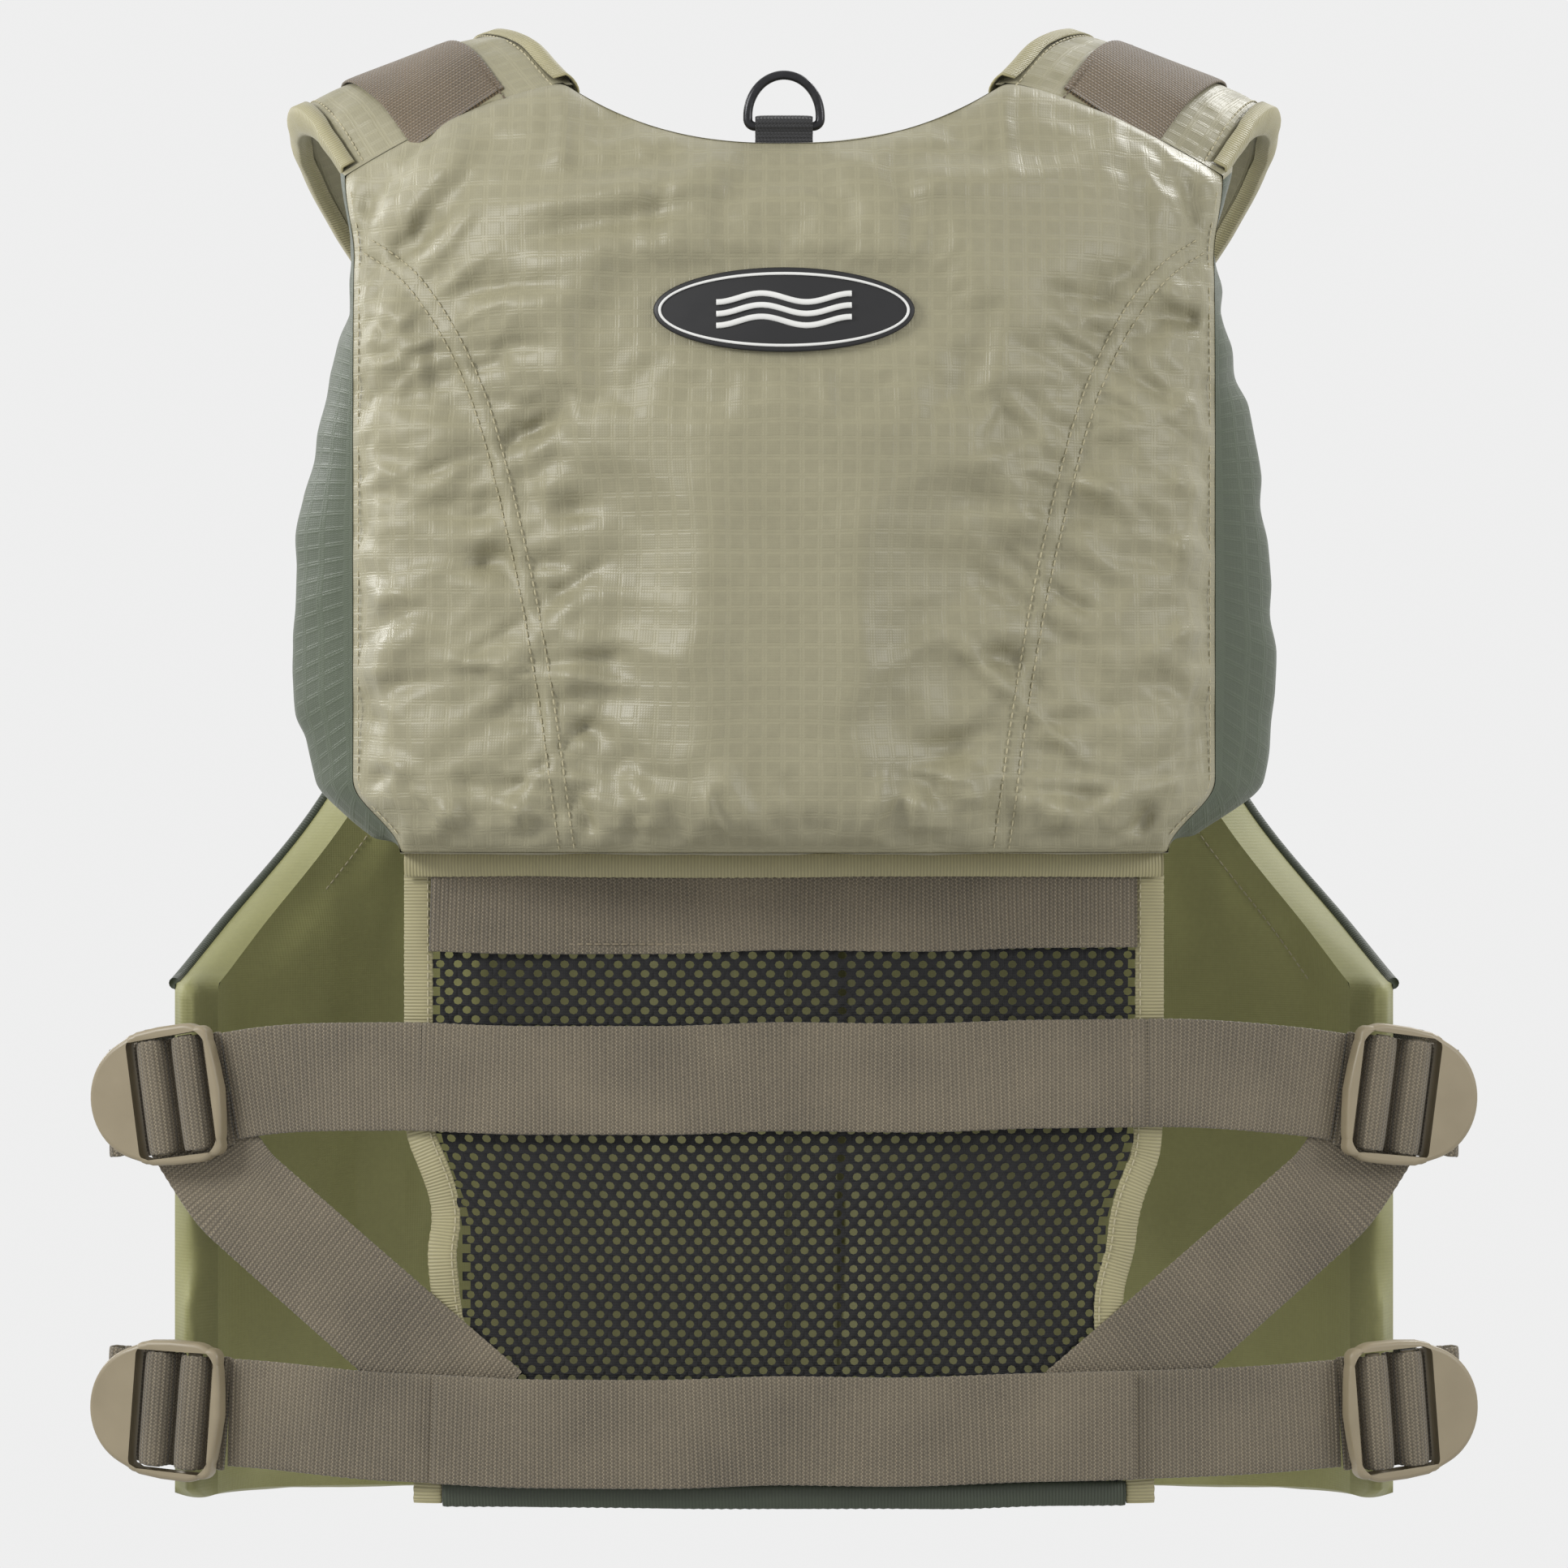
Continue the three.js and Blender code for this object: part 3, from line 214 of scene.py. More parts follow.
def float_face(x, z):
    lean = FLOAT_LEAN * np.maximum(0, z - FLOAT_LEAN_FROM) ** 2
    return FLOAT_OUTER_Y - FLOAT_BOW * (x / FLOAT_HALF_WIDTH) ** 2 - lean


def float_thickness(z):
    return FLOAT_THICKNESS * (1 - 0.6 * smooth(440, 500, z))


def in_float(u, v, lift, inset):
    """A point of the back float: u and v across its outline, lift from the body side."""
    share = 2 * u - 1
    low = FLOAT_BOTTOM + inset
    z = low + (float_top(share) - inset - low) * v
    x = share * (float_half_width(z) - inset)
    y = float_face(x, z) - float_thickness(z) + lift
    return np.stack(np.broadcast_arrays(x, y, z), -1)


def front_angle(x):
    return np.arcsin(np.clip(np.asarray(x) / FRONT_HALF_WIDTH, -1, 1))


def front_thickness(angle):
    return FRONT_SIDE_THICKNESS + (FRONT_THICKNESS - FRONT_SIDE_THICKNESS) * np.cos(angle) ** 2


def front_normal(angle):
    x, y = FRONT_DEPTH * np.sin(angle), -FRONT_HALF_WIDTH * np.cos(angle)
    length = np.hypot(x, y)
    return x / length, y / length


def front_out(angle):
    """Outward normal of the left front panel, as a vector."""
    nx, ny = front_normal(angle)
    return np.stack(np.broadcast_arrays(nx, ny, 0 * nx), -1)


def on_front(angle, z, lift):
    """A point lift millimetres out from the body side of the left front panel."""
    nx, ny = front_normal(angle)
    lean = FRONT_LEAN * np.maximum(0, z - FRONT_LEAN_FROM) ** 2
    x = FRONT_HALF_WIDTH * np.sin(angle) + lift * nx
    y = FRONT_CENTRE_Y - FRONT_DEPTH * np.cos(angle) + lean + lift * ny
    return np.stack(np.broadcast_arrays(x, y, z), -1)


def uniform_spline(points, count):
    """Catmull-Rom through the points, with equal steps between them."""
    p = np.asarray(points, float)
    p = np.vstack([p[:1], p, p[-1:]])
    t = np.linspace(0, len(points) - 1, count)
    i = np.minimum(t.astype(int), len(points) - 2)
    w = (t - i)[:, None]
    a, b, c, d = p[i], p[i + 1], p[i + 2], p[i + 3]
    v0, v1 = (c - a) / 2, (d - b) / 2
    return (2 * b - 2 * c + v0 + v1) * w**3 + (3 * c - 3 * b - 2 * v0 - v1) * w**2 + v0 * w + b


ARMHOLE = uniform_spline(
    [
        (FRONT_HALF_WIDTH * math.sin(FRONT_SIDE), ARM_START),
        (FRONT_HALF_WIDTH * 0.93, ARM_START + 20),
        (FRONT_HALF_WIDTH * 0.77, ARM_START + 66),
        (ARM_TOP + 0.16 * (FRONT_HALF_WIDTH - ARM_TOP), ARM_START + 66 + 0.4 * (FRONT_TOP - ARM_START - 66)),
        (ARM_TOP, FRONT_TOP),
    ],
    41,
)


def arm_side(z):
    return np.interp(z, ARMHOLE[:, 1], ARMHOLE[:, 0])


def zip_side(z):
    rise = np.clip((np.asarray(z) - ZIP_TOP) / (FRONT_TOP - ZIP_TOP), 0, 1)
    return ZIP_EDGE + (FRONT_NECK - ZIP_EDGE) * rise**0.8


def front_outline(u, v, inset=0):
    """Distance from the centre line and height at u, v across a front panel."""
    hem = FRONT_HEM_RISE * u**3
    z = hem + inset + (FRONT_TOP - 2 * inset - hem) * v
    x = zip_side(z) + inset
    return x + (arm_side(z) - inset - x) * u, z


def root_distance(a, b):
    return np.sqrt(np.linalg.norm(b - a, axis=-1))[..., None]


def centripetal_spline(points, t):
    p = np.asarray(points, float)
    p = np.vstack([2 * p[0] - p[1], p, 2 * p[-1] - p[-2]])
    t = np.asarray(t) * (len(points) - 1)
    i = np.clip(t.astype(int), 0, len(points) - 2)
    w = (t - i)[..., None]
    a, b, c, d = p[i], p[i + 1], p[i + 2], p[i + 3]
    s0, s1, s2 = root_distance(a, b), root_distance(b, c), root_distance(c, d)
    t1 = ((b - a) / s0 - (c - a) / (s0 + s1) + (c - b) / s1) * s1
    t2 = ((c - b) / s1 - (d - b) / (s1 + s2) + (d - c) / s2) * s1
    return b + t1 * w + (3 * (c - b) - 2 * t1 - t2) * w**2 + (2 * (b - c) + t1 + t2) * w**3


def seam_point(x, z):
    return np.array([x, float_face(x, z) - FLOAT_ROLL, z])


NECK_EDGE = seam_point(SEAM_IN, SEAM_TOP) + [
    (0, 0, 0),
    (13, -21, 16),
    (26, -49, 23),
    (32, -77, 22),
    (30, -105, 10),
    (21, -133, -14),
    (10, -155, -45),
    (2, -169, -71),
]
ARM_EDGE = seam_point(SEAM_OUT, SEAM_END) + [
    (0, 0, 0),
    (10, -18, 17),
    (19, -40, 27),
    (23, -64, 26),
    (20, -88, 14),
    (10, -112, -6),
    (-5, -132, -30),
    (-17, -146, -52),
]


def pad_inward(t):
    turn = np.pi * 0.86 * t
    return np.stack([np.zeros_like(t), -np.cos(turn), -np.sin(turn)], -1)


def pad_normal(t):
    """Outward normal of the left shoulder strap's sloping face."""
    across = unit(centripetal_spline(ARM_EDGE, t) - centripetal_spline(NECK_EDGE, t))
    out = unit(np.cross(across, tangents(on_pad(0.5, t, 0.0))))
    return out * np.sign(np.sum(-out * pad_inward(t), axis=-1, keepdims=True))


def on_pad(u, t, depth):
    """A point of the left shoulder strap: u from neck to arm, t from back to front."""
    u, t, depth = np.broadcast_arrays(np.asarray(u, float), np.asarray(t, float), depth)
    blend = u[..., None]
    p = centripetal_spline(NECK_EDGE, t) * (1 - blend) + centripetal_spline(ARM_EDGE, t) * blend
    straight = SEAM_TOP + (SEAM_END - SEAM_TOP) * u
    p[..., 2] += (float_top(0.5 + 0.5 * u) - straight) * (1 - t) ** 3 + 1
    return p + pad_inward(t) * depth[..., None]


# ---------------------------------------------------------------- mesh building


def add_mesh(name, points, faces, cloth=None):
    """A smooth mesh object from millimetre points; cloth is each point's place on the fabric."""
    points = (np.asarray(points, float).reshape(-1, 3) - (0, 0, SHOULDER_REST)) * MM
    mesh = bpy.data.meshes.new(name)
    mesh.from_pydata(points.tolist(), [], [tuple(f) for f in faces])
    if cloth is not None:
        data = np.zeros((len(points), 3))
        data[:, :2] = np.asarray(cloth).reshape(-1, 2) * MM
        layer = mesh.attributes.new("cloth", "FLOAT_VECTOR", "POINT")
        layer.data.foreach_set("vector", data.ravel())
    mesh.shade_smooth()
    obj = bpy.data.objects.new(name, mesh)
    SCENE.collection.objects.link(obj)
    return obj


def grid_faces(rows, columns, wrap=False):
    index = np.arange(rows * columns).reshape(rows, columns)
    if wrap:
        index = np.hstack([index, index[:, :1]])
    corners = (index[:-1, :-1], index[:-1, 1:], index[1:, 1:], index[1:, :-1])
    return np.stack(corners, -1).reshape(-1, 4).tolist()


def sheet(name, points, cloth, thickness=0.0):
    """A sheet through a grid of points, thickened to both sides."""
    rows, columns = points.shape[:2]
    obj = add_mesh(name, points, grid_faces(rows, columns), cloth)
    if thickness:
        solid = obj.modifiers.new("Thickness", "SOLIDIFY")
        solid.thickness = thickness * MM
        solid.offset = 0
    return obj


def unit(v):
    return v / np.maximum(np.linalg.norm(v, axis=-1, keepdims=True), 1e-9)


def tangents(line):
    return unit(np.gradient(line, axis=0))


def arc_length(line):
    return np.concatenate([[0], np.cumsum(np.linalg.norm(np.diff(line, axis=0), axis=1))])


def resample(line, step, *others):
    """The line, and other values given along it, at equal steps of about that length."""
    length = arc_length(line)
    at = np.linspace(0, length[-1], max(2, int(round(length[-1] / step)) + 1))
    picked = []
    for values in (line, *others):
        picked.append(np.stack([np.interp(at, length, column) for column in np.asarray(values).T], -1))
    return picked if others else picked[0]


SELVEDGE = 3.1  # length of one scallop along the edge of webbing


def ribbon(name, line, normal, width=WEBBING_WIDTH, thickness=WEBBING, step=1.6, crown=0.0, scallop=0.25):
    """Flat webbing along a line, with rounded, slightly scalloped edges and closed ends."""
    line, normal = resample(np.asarray(line, float), step, normal)
    across = unit(np.cross(tangents(line), normal))
    out = unit(np.cross(across, tangents(line)))
    out *= np.sign(np.sum(out * normal, axis=1, keepdims=True))
    along = arc_length(line)[:, None]
    turn = np.linspace(0, 2 * np.pi, 33)[:-1]
    wide = np.sign(np.cos(turn)) * np.abs(np.cos(turn)) ** 0.45
    thick = np.sign(np.sin(turn)) * np.abs(np.sin(turn)) ** 0.5
    half = width / 2 - scallop * (0.5 + 0.5 * np.cos(2 * np.pi * along / SELVEDGE))
    side = half * wide
    height = thickness / 2 * thick + crown * (1 - wide**2)
    points = line[:, None] + across[:, None] * side[..., None] + out[:, None] * height[..., None]
    rows, columns = points.shape[:2]
    cloth = np.stack(np.broadcast_arrays(along, side), -1)
    faces = grid_faces(rows, columns, wrap=True)
    faces += [list(range(columns)), list(range((rows - 1) * columns, rows * columns))]
    return add_mesh(name, points, faces, cloth)


def tube(name, line, radius, flatten=1.0, closed=False, sides=12, up=(0, 1, 0)):
    """A round or oval bar along a line."""
    line = np.asarray(line, float)
    if closed:
        along = unit(np.roll(line, -1, 0) - np.roll(line, 1, 0))
    else:
        along = tangents(line)
    side = unit(np.cross(along, up))
    top = np.cross(side, along)
    turn = np.linspace(0, 2 * np.pi, sides + 1)[:-1]
    ring = np.cos(turn)[:, None] * side[:, None] + flatten * np.sin(turn)[:, None] * top[:, None]
    points = line[:, None] + radius * ring
    rows = len(line)
    cloth = np.stack(np.broadcast_arrays(arc_length(line)[:, None], radius * turn[None]), -1)
    if closed:
        faces = [[i % (rows * sides) for i in f] for f in grid_faces(rows + 1, sides, wrap=True)]
    else:
        faces = grid_faces(rows, sides, wrap=True)
        faces += [list(range(sides)), list(range((rows - 1) * sides, rows * sides))]
    return add_mesh(name, points, faces, cloth)


def merged(name, objects):
    """One object from several, with their modifiers applied and materials kept."""
    for o in objects:
        apply_modifiers(o)
    bpy.ops.object.select_all(action="DESELECT")
    for o in objects:
        o.select_set(True)
    bpy.context.view_layer.objects.active = objects[0]
    bpy.ops.object.join()
    objects[0].name = name
    return objects[0]


def apply_modifiers(obj):
    if not obj.modifiers:
        return
    depsgraph = bpy.context.evaluated_depsgraph_get()
    mesh = bpy.data.meshes.new_from_object(obj.evaluated_get(depsgraph))
    obj.modifiers.clear()
    obj.data = mesh


def subdivided(obj, levels=1):
    mod = obj.modifiers.new("Smooth", "SUBSURF")
    mod.levels = mod.render_levels = levels
    return obj


def coordinates(obj):
    """The vertices in millimetres above the hem."""
    flat = np.empty(len(obj.data.vertices) * 3)
    obj.data.vertices.foreach_get("co", flat)
    return flat.reshape(-1, 3) / MM + (0, 0, SHOULDER_REST)


def move_to(obj, points):
    obj.data.vertices.foreach_set("co", ((points - (0, 0, SHOULDER_REST)) * MM).ravel())
    obj.data.update()


def mirrored(points, side):
    return np.asarray(points) * (side, 1, 1)


CLOTH_FRAMES = 16


def crumple(obj, pins, surplus, limit):
    """Cloth simulation: the cloth is surplus too large for the shape, so it folds between its pins."""
    rest = coordinates(obj)
    group = obj.vertex_groups.new(name="pins")
    for index, weight in enumerate(pins):
        if weight > 0.01:
            group.add([index], float(min(weight, 1)), "REPLACE")
    mod = obj.modifiers.new("Cloth", "CLOTH")
    settings = mod.settings
    settings.quality = 6
    settings.mass = 0.15
    settings.tension_stiffness = settings.compression_stiffness = 25
    settings.shear_stiffness = 8
    settings.bending_stiffness = 0.8
    settings.vertex_group_mass = "pins"
    settings.pin_stiffness = 1.0
    settings.shrink_min = -surplus
    settings.effector_weights.gravity = 0
    mod.point_cache.frame_start = 1
    mod.point_cache.frame_end = CLOTH_FRAMES
    for number in range(1, CLOTH_FRAMES + 1):
        SCENE.frame_set(number)
    evaluated = obj.evaluated_get(bpy.context.evaluated_depsgraph_get())
    moved = np.empty(len(rest) * 3)
    evaluated.data.vertices.foreach_get("co", moved)
    moved = moved.reshape(-1, 3) / MM + (0, 0, SHOULDER_REST)
    obj.modifiers.remove(mod)
    obj.vertex_groups.remove(group)
    SCENE.frame_set(1)
    shift = moved - rest
    size = np.linalg.norm(shift, axis=1, keepdims=True)
    move_to(obj, rest + shift * np.minimum(1, limit / np.maximum(size, 1e-6)))


# ---------------------------------------------------------------- materials


class Shader:
    """A material's node tree, with short calls for the nodes that the recipes below use."""

    def __init__(self, name, color, roughness):
        self.material = bpy.data.materials.new(name)
        self.material.use_nodes = True
        self.tree = self.material.node_tree
        self.surface = self.tree.nodes["Principled BSDF"]
        self.surface.inputs["Roughness"].default_value = roughness
        self.color = color
        place = self.tree.nodes.new("ShaderNodeAttribute")
        place.attribute_name = "cloth"
        split = self.tree.nodes.new("ShaderNodeSeparateXYZ")
        self.link(place.outputs["Vector"], split.inputs[0])
        self.cloth = place.outputs["Vector"]
        self.along, self.across = split.outputs[0], split.outputs[1]
        self.object_place = self.tree.nodes.new("ShaderNodeTexCoord").outputs["Object"]

    def link(self, source, target):
        self.tree.links.new(source, target)

    def math(self, operation, *values, clamp=False):
        node = self.tree.nodes.new("ShaderNodeMath")
        node.operation = operation
        node.use_clamp = clamp
        for socket, value in zip(node.inputs, values):
            if isinstance(value, (int, float)):
                socket.default_value = value
            else:
                self.link(value, socket)
        return node.outputs[0]

    def wave(self, coordinate, pitch, phase=0.0):
        """A wave from 0 to 1 with that pitch in millimetres along a coordinate in metres."""
        angle = self.math("MULTIPLY_ADD", coordinate, 2 * math.pi / (pitch * MM), phase)
        return self.math("MULTIPLY_ADD", self.math("COSINE", angle), 0.5, 0.5)

    def noise(self, size, detail=2.0, source=None):
        node = self.tree.nodes.new("ShaderNodeTexNoise")
        node.inputs["Scale"].default_value = 1 / (size * MM)
        node.inputs["Detail"].default_value = detail
        self.link(source or self.object_place, node.inputs["Vector"])
        return node.outputs["Fac"]

    def steps(self, value, low, high, to_low=0.0, to_high=1.0):
        node = self.tree.nodes.new("ShaderNodeMapRange")
        self.link(value, node.inputs["Value"])
        for name, number in zip(("From Min", "From Max", "To Min", "To Max"), (low, high, to_low, to_high)):
            node.inputs[name].default_value = number
        return node.outputs["Result"]

    def mix(self, factor, a, b):
        node = self.tree.nodes.new("ShaderNodeMix")
        node.data_type = "RGBA"
        self.link(factor, node.inputs["Factor"])
        for socket, value in ((node.inputs[6], a), (node.inputs[7], b)):
            if isinstance(value, tuple):
                socket.default_value = (*value, 1)
            else:
                self.link(value, socket)
        return node.outputs[2]

    def shade(self, factor, dark, light):
        """The base colour between two strengths of it."""
        a = tuple(c * dark for c in self.color)
        b = tuple(min(1.0, c * light) for c in self.color)
        return self.mix(factor, a, b)

    def finish(self, color, height=None, strength=0.5, depth=0.3, roughness=None):
        self.link(color, self.surface.inputs["Base Color"])
        if roughness is not None:
            self.link(roughness, self.surface.inputs["Roughness"])
        if height is not None:
            bump = self.tree.nodes.new("ShaderNodeBump")
            bump.inputs["Strength"].default_value = strength
            bump.inputs["Distance"].default_value = depth * MM
            self.link(height, bump.inputs["Height"])
            self.link(bump.outputs["Normal"], self.surface.inputs["Normal"])
        return self.material

    def sheen(self, weight, roughness=0.4):
        self.surface.inputs["Sheen Weight"].default_value = weight
        self.surface.inputs["Sheen Roughness"].default_value = roughness


RIP_PITCH = 6.3


def ripstop(name, color, roughness, grid_highlight=0.35):
    """Satin cloth with a grid of doubled threads and a fine plain weave; the grid threads are painted
    lighter, a painted highlight for their gloss.
    """
    s = Shader(name, color, roughness)
    lines = []
    for coordinate in (s.along, s.across):
        lines.append(s.steps(s.wave(coordinate, RIP_PITCH), 0.90, 0.975))
        lines.append(s.steps(s.wave(coordinate, RIP_PITCH, -1.0), 0.93, 0.985))
    grid = s.math("MAXIMUM", s.math("MAXIMUM", lines[0], lines[1]), s.math("MAXIMUM", lines[2], lines[3]))
    weave = s.math("MULTIPLY", s.wave(s.along, 0.9), s.wave(s.across, 0.9))
    wear = s.noise(38, 3)
    fine = s.noise(3.2, 3)
    tone = s.math("ADD", s.math("MULTIPLY", wear, 0.55), s.math("MULTIPLY", fine, 0.45))
    # Painted highlight: the grid threads are lightened in colour, standing in for the gloss on the raised
    # threads.
    tone = s.math("ADD", tone, s.math("MULTIPLY", grid, grid_highlight))
    height = s.math("ADD", s.math("MULTIPLY", grid, 0.8), s.math("MULTIPLY", weave, 0.35))
    rough = s.steps(wear, 0.3, 0.7, roughness - 0.06, roughness + 0.06)
    s.sheen(0.12, 0.35)
    return s.finish(s.shade(tone, 0.80, 1.16), height, 0.45, 0.25, rough)


def woven_webbing(name, color, pick=1.45, yarn=1.3):
    """Webbing: lines of short floats across its width, every second line shifted by half a float."""
    s = Shader(name, color, 0.72)
    lines = s.wave(s.along, pick)
    shift = s.math("MULTIPLY", s.math("FLOOR", s.math("DIVIDE", s.along, pick * MM)), math.pi)
    angle = s.math("MULTIPLY_ADD", s.across, 2 * math.pi / (yarn * MM), shift)
    floats = s.math("MULTIPLY_ADD", s.math("COSINE", angle), 0.5, 0.5)
    height = s.math("MULTIPLY", s.math("POWER", lines, 0.6), s.math("MULTIPLY_ADD", floats, 0.9, 0.1))
    height = s.math("MULTIPLY", height, s.math("MULTIPLY_ADD", s.wave(s.along, 2 * pick), 0.45, 0.55))
    fuzz = s.noise(1.1, 3)
    wear = s.noise(40, 2)
    tone = s.math("MULTIPLY_ADD", height, 0.75, s.math("MULTIPLY", fuzz, 0.25))
    tone = s.math("ADD", tone, s.math("MULTIPLY_ADD", wear, 0.4, -0.2))
    s.sheen(0.2, 0.5)
    return s.finish(s.shade(tone, 0.34, 2.1), height, 1.0, 0.5)


def grosgrain(name, color):
    """Binding tape with close ribs across its length."""
    s = Shader(name, color, 0.55)
    ribs = s.wave(s.along, 1.15)
    edge = s.noise(9, 2)
    tone = s.math("MULTIPLY_ADD", ribs, 0.6, s.math("MULTIPLY", edge, 0.4))
    s.sheen(0.2, 0.4)
    return s.finish(s.shade(tone, 0.72, 1.22), ribs, 0.7, 0.3)


def plain_cloth(name, color, roughness=0.6, middle=1.0):
    """Smooth lining with a fine weave; middle is how dark it is near the vest's centre line, a painted shade
    for the vest's shadowed inside behind the mesh.
    """
    s = Shader(name, color, roughness)
    weave = s.math("ADD", s.wave(s.along, 0.8), s.wave(s.across, 0.8))
    tone = s.math("ADD", s.math("MULTIPLY", s.noise(30, 3), 0.6), s.math("MULTIPLY", s.noise(2.0, 2), 0.4))
    s.sheen(0.1, 0.4)
    cloth = s.shade(tone, 0.78, 1.2)
    # Painted shade: the cloth is darkened within 95 mm of the centre line, fading out by 130 mm, where the
    # inside of the vest lies in shadow.
    if middle < 1:
        painted_shade_colour = s.shade(tone, 0.78 * middle, 1.2 * middle)
        cloth = s.mix(s.steps(s.along, 95 * MM, 130 * MM), painted_shade_colour, cloth)
    return s.finish(cloth, weave, 0.25, 0.15)


def moulded(name, color, roughness=0.42):
    """Moulded plastic: fine texture, with soft patches of varying tone and gloss."""
    s = Shader(name, color, roughness)
    grain = s.noise(0.7, 3)
    patches = s.noise(14, 2)
    rough = s.steps(patches, 0.3, 0.7, roughness - 0.07, roughness + 0.1)
    return s.finish(s.shade(patches, 0.88, 1.1), grain, 0.15, 0.1, rough)


def coated_metal(name, color):
    s = Shader(name, color, 0.3)
    s.surface.inputs["Metallic"].default_value = 0.6
    scratches = s.noise(2.2, 4)
    rough = s.steps(scratches, 0.35, 0.7, 0.22, 0.42)
    return s.finish(s.shade(scratches, 0.7, 1.6), s.noise(0.8, 2), 0.08, 0.1, rough)


def knit(name, color):
    s = Shader(name, color, 0.85)
    yarn = s.math("MULTIPLY", s.wave(s.along, 0.7), s.wave(s.across, 0.9))
    return s.finish(s.shade(yarn, 0.6, 1.8), yarn, 0.6, 0.3)


def thread(name, color):
    s = Shader(name, color, 0.6)
    twist = s.noise(0.5, 1)
    return s.finish(s.shade(twist, 0.75, 1.25), twist, 0.3, 0.1)


M = {
    "khaki": ripstop("khaki ripstop", KHAKI, 0.46, 0.2),
    "sage": ripstop("sage ripstop", SAGE, 0.5, 0.3),
    # The lining is painted darker near the centre line: painted shade for the vest's shadowed inside.
    "lining": plain_cloth("olive lining", OLIVE, middle=0.5),
    "lining_edge": plain_cloth("olive edge", tuple(c * 0.75 for c in OLIVE)),
    "webbing": woven_webbing("taupe webbing", TAUPE),
    "brown": woven_webbing("brown webbing", BROWN),
    "black": woven_webbing("black webbing", BLACK, 1.3, 1.2),
    "binding": grosgrain("binding tape", BEIGE),
    "dark_binding": grosgrain("dark binding tape", tuple(c * 0.7 for c in SAGE)),
    "knit": knit("mesh yarn", tuple(c * 0.6 for c in BLACK)),
    "plastic": moulded("buckle plastic", TAN),
    "rubber": moulded("badge rubber", BADGE_BLACK, 0.55),
    "white_rubber": moulded("badge ring", BADGE_WHITE, 0.55),
    "metal": coated_metal("coated metal", RING_METAL),
    "zip_metal": coated_metal("zip slider metal", SLIDER_METAL),
    "teeth": moulded("zip teeth", DARK_ZIP, 0.35),
    "zip_tape": plain_cloth("zip tape", DARK_ZIP, 0.8),
    "thread": thread("thread", THREAD),
    "brown_thread": thread("brown thread", tuple(c * 0.7 for c in BROWN)),
    "taupe_thread": thread("taupe thread", tuple(c * 1.3 for c in TAUPE)),
}


def done(obj, key, body, nodes=()):
    """Paints a finished piece, parents it to the body it rides on, or leaves it in place when it spans two
    bodies, and hides the CAD nodes it stands for.
    """
    if key:
        obj.data.materials.clear()
        obj.data.materials.append(M[key])
    if isinstance(body, tuple):
        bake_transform(obj)
    else:
        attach(obj, body)
    if nodes:
        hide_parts(*nodes)
    return obj


def second_material(obj, key, chosen):
    """Paints the chosen faces with another material."""
    obj.data.materials.append(M[key])
    for index in np.flatnonzero(chosen):
        obj.data.polygons[int(index)].material_index = 1


# ---------------------------------------------------------------- stitching

STITCH = {"pitch": 3.1, "length": 2.3, "radius": 0.34}
SPINDLE = [(-0.5, 0.45), (-0.3, 1.0), (0.3, 1.0), (0.5, 0.45)]
threads = {}


def stitch(body, key, line, normal, lift=0.15):
    """Adds a row of stitches along a line; the rows of each body and colour become one piece."""
    line, normal = resample(np.asarray(line, float), STITCH["pitch"], normal)
    middle = (line[1:] + line[:-1]) / 2
    along = unit(line[1:] - line[:-1])
    out = unit(normal[1:] + normal[:-1])
    side = np.cross(along, out)
    middle = middle + out * lift
    rings = []
    for place, width in SPINDLE:
        for k in range(6):
            a = k * math.pi / 3
            spoke = side * math.cos(a) + out * math.sin(a) * 0.8
            rings.append(middle + along * place * STITCH["length"] + spoke * width * STITCH["radius"])
    threads.setdefault((body, key), []).append(np.stack(rings, 1))


def make_threads():
    """One mesh for all the stitches of each body and colour."""
    faces = grid_faces(len(SPINDLE), 6, wrap=True)
    faces += [list(range(6)), list(range(18, 24))]
    for (body, key), blocks in threads.items():
        points = np.concatenate(blocks)
        count = points.shape[1]
        everything = [[i + n * count for i in f] for n in range(len(points)) for f in faces]
        name = body if isinstance(body, str) else body[1] + "_strap"
        obj = add_mesh(f"stitches_{key}_{name}", points, everything)
        done(obj, key, body)


# ---------------------------------------------------------------- back float

BADGE_HALF = (BADGE_HIGH[0], (BADGE_HIGH[2] - BADGE_LOW[2]) / 2)
BADGE_Z = (BADGE_LOW[2] + BADGE_HIGH[2]) / 2
SEAM_CURVE = [(150, 452), (127, 434), (106, 397), (91, 342), (81, 288), (74, 236)]
FOLDS = [  # each line: from x, z to x, z, then width and height; below 0 is a crease
    (104, 466, 30, 479, 5, -2.6),
    (100, 459, 18, 470, 6, 2.2),
    (96, 447, 14, 462, 5, -2.2),
    (92, 438, 20, 452, 7, 1.8),
    (130, 446, 94, 488, 5, -1.8),
    (136, 452, 104, 492, 5, 1.8),
    (116, 431, 74, 433, 4, -2.4),
    (114, 425, 70, 427, 6, 1.8),
    (-37, 478, -92, 482, 5, -1.8),
    (-30, 468, -96, 470, 6, 1.6),
    (-96, 420, -132, 450, 5, -2.0),
    (-92, 412, -134, 440, 6, 1.6),
    (22, 400, 40, 250, 12, 1.5),
    (-30, 390, -24, 250, 13, 1.6),
    (-60, 330, -54, 244, 8, -1.3),
    (84, 246, 66, 330, 8, 1.9),
    (72, 246, 56, 310, 6, -1.3),
    (154, 300, 118, 318, 5, 1.8),
    (154, 290, 112, 300, 4, -1.8),
    (150, 262, 104, 250, 5, 1.7),
    (-150, 268, -100, 250, 5, 1.8),
    (-152, 284, -118, 262, 4, -1.6),
    (-152, 318, -120, 300, 5, 1.5),
]


RELIEF_EDGE = 10  # the cover's folds die out over this distance from its edge


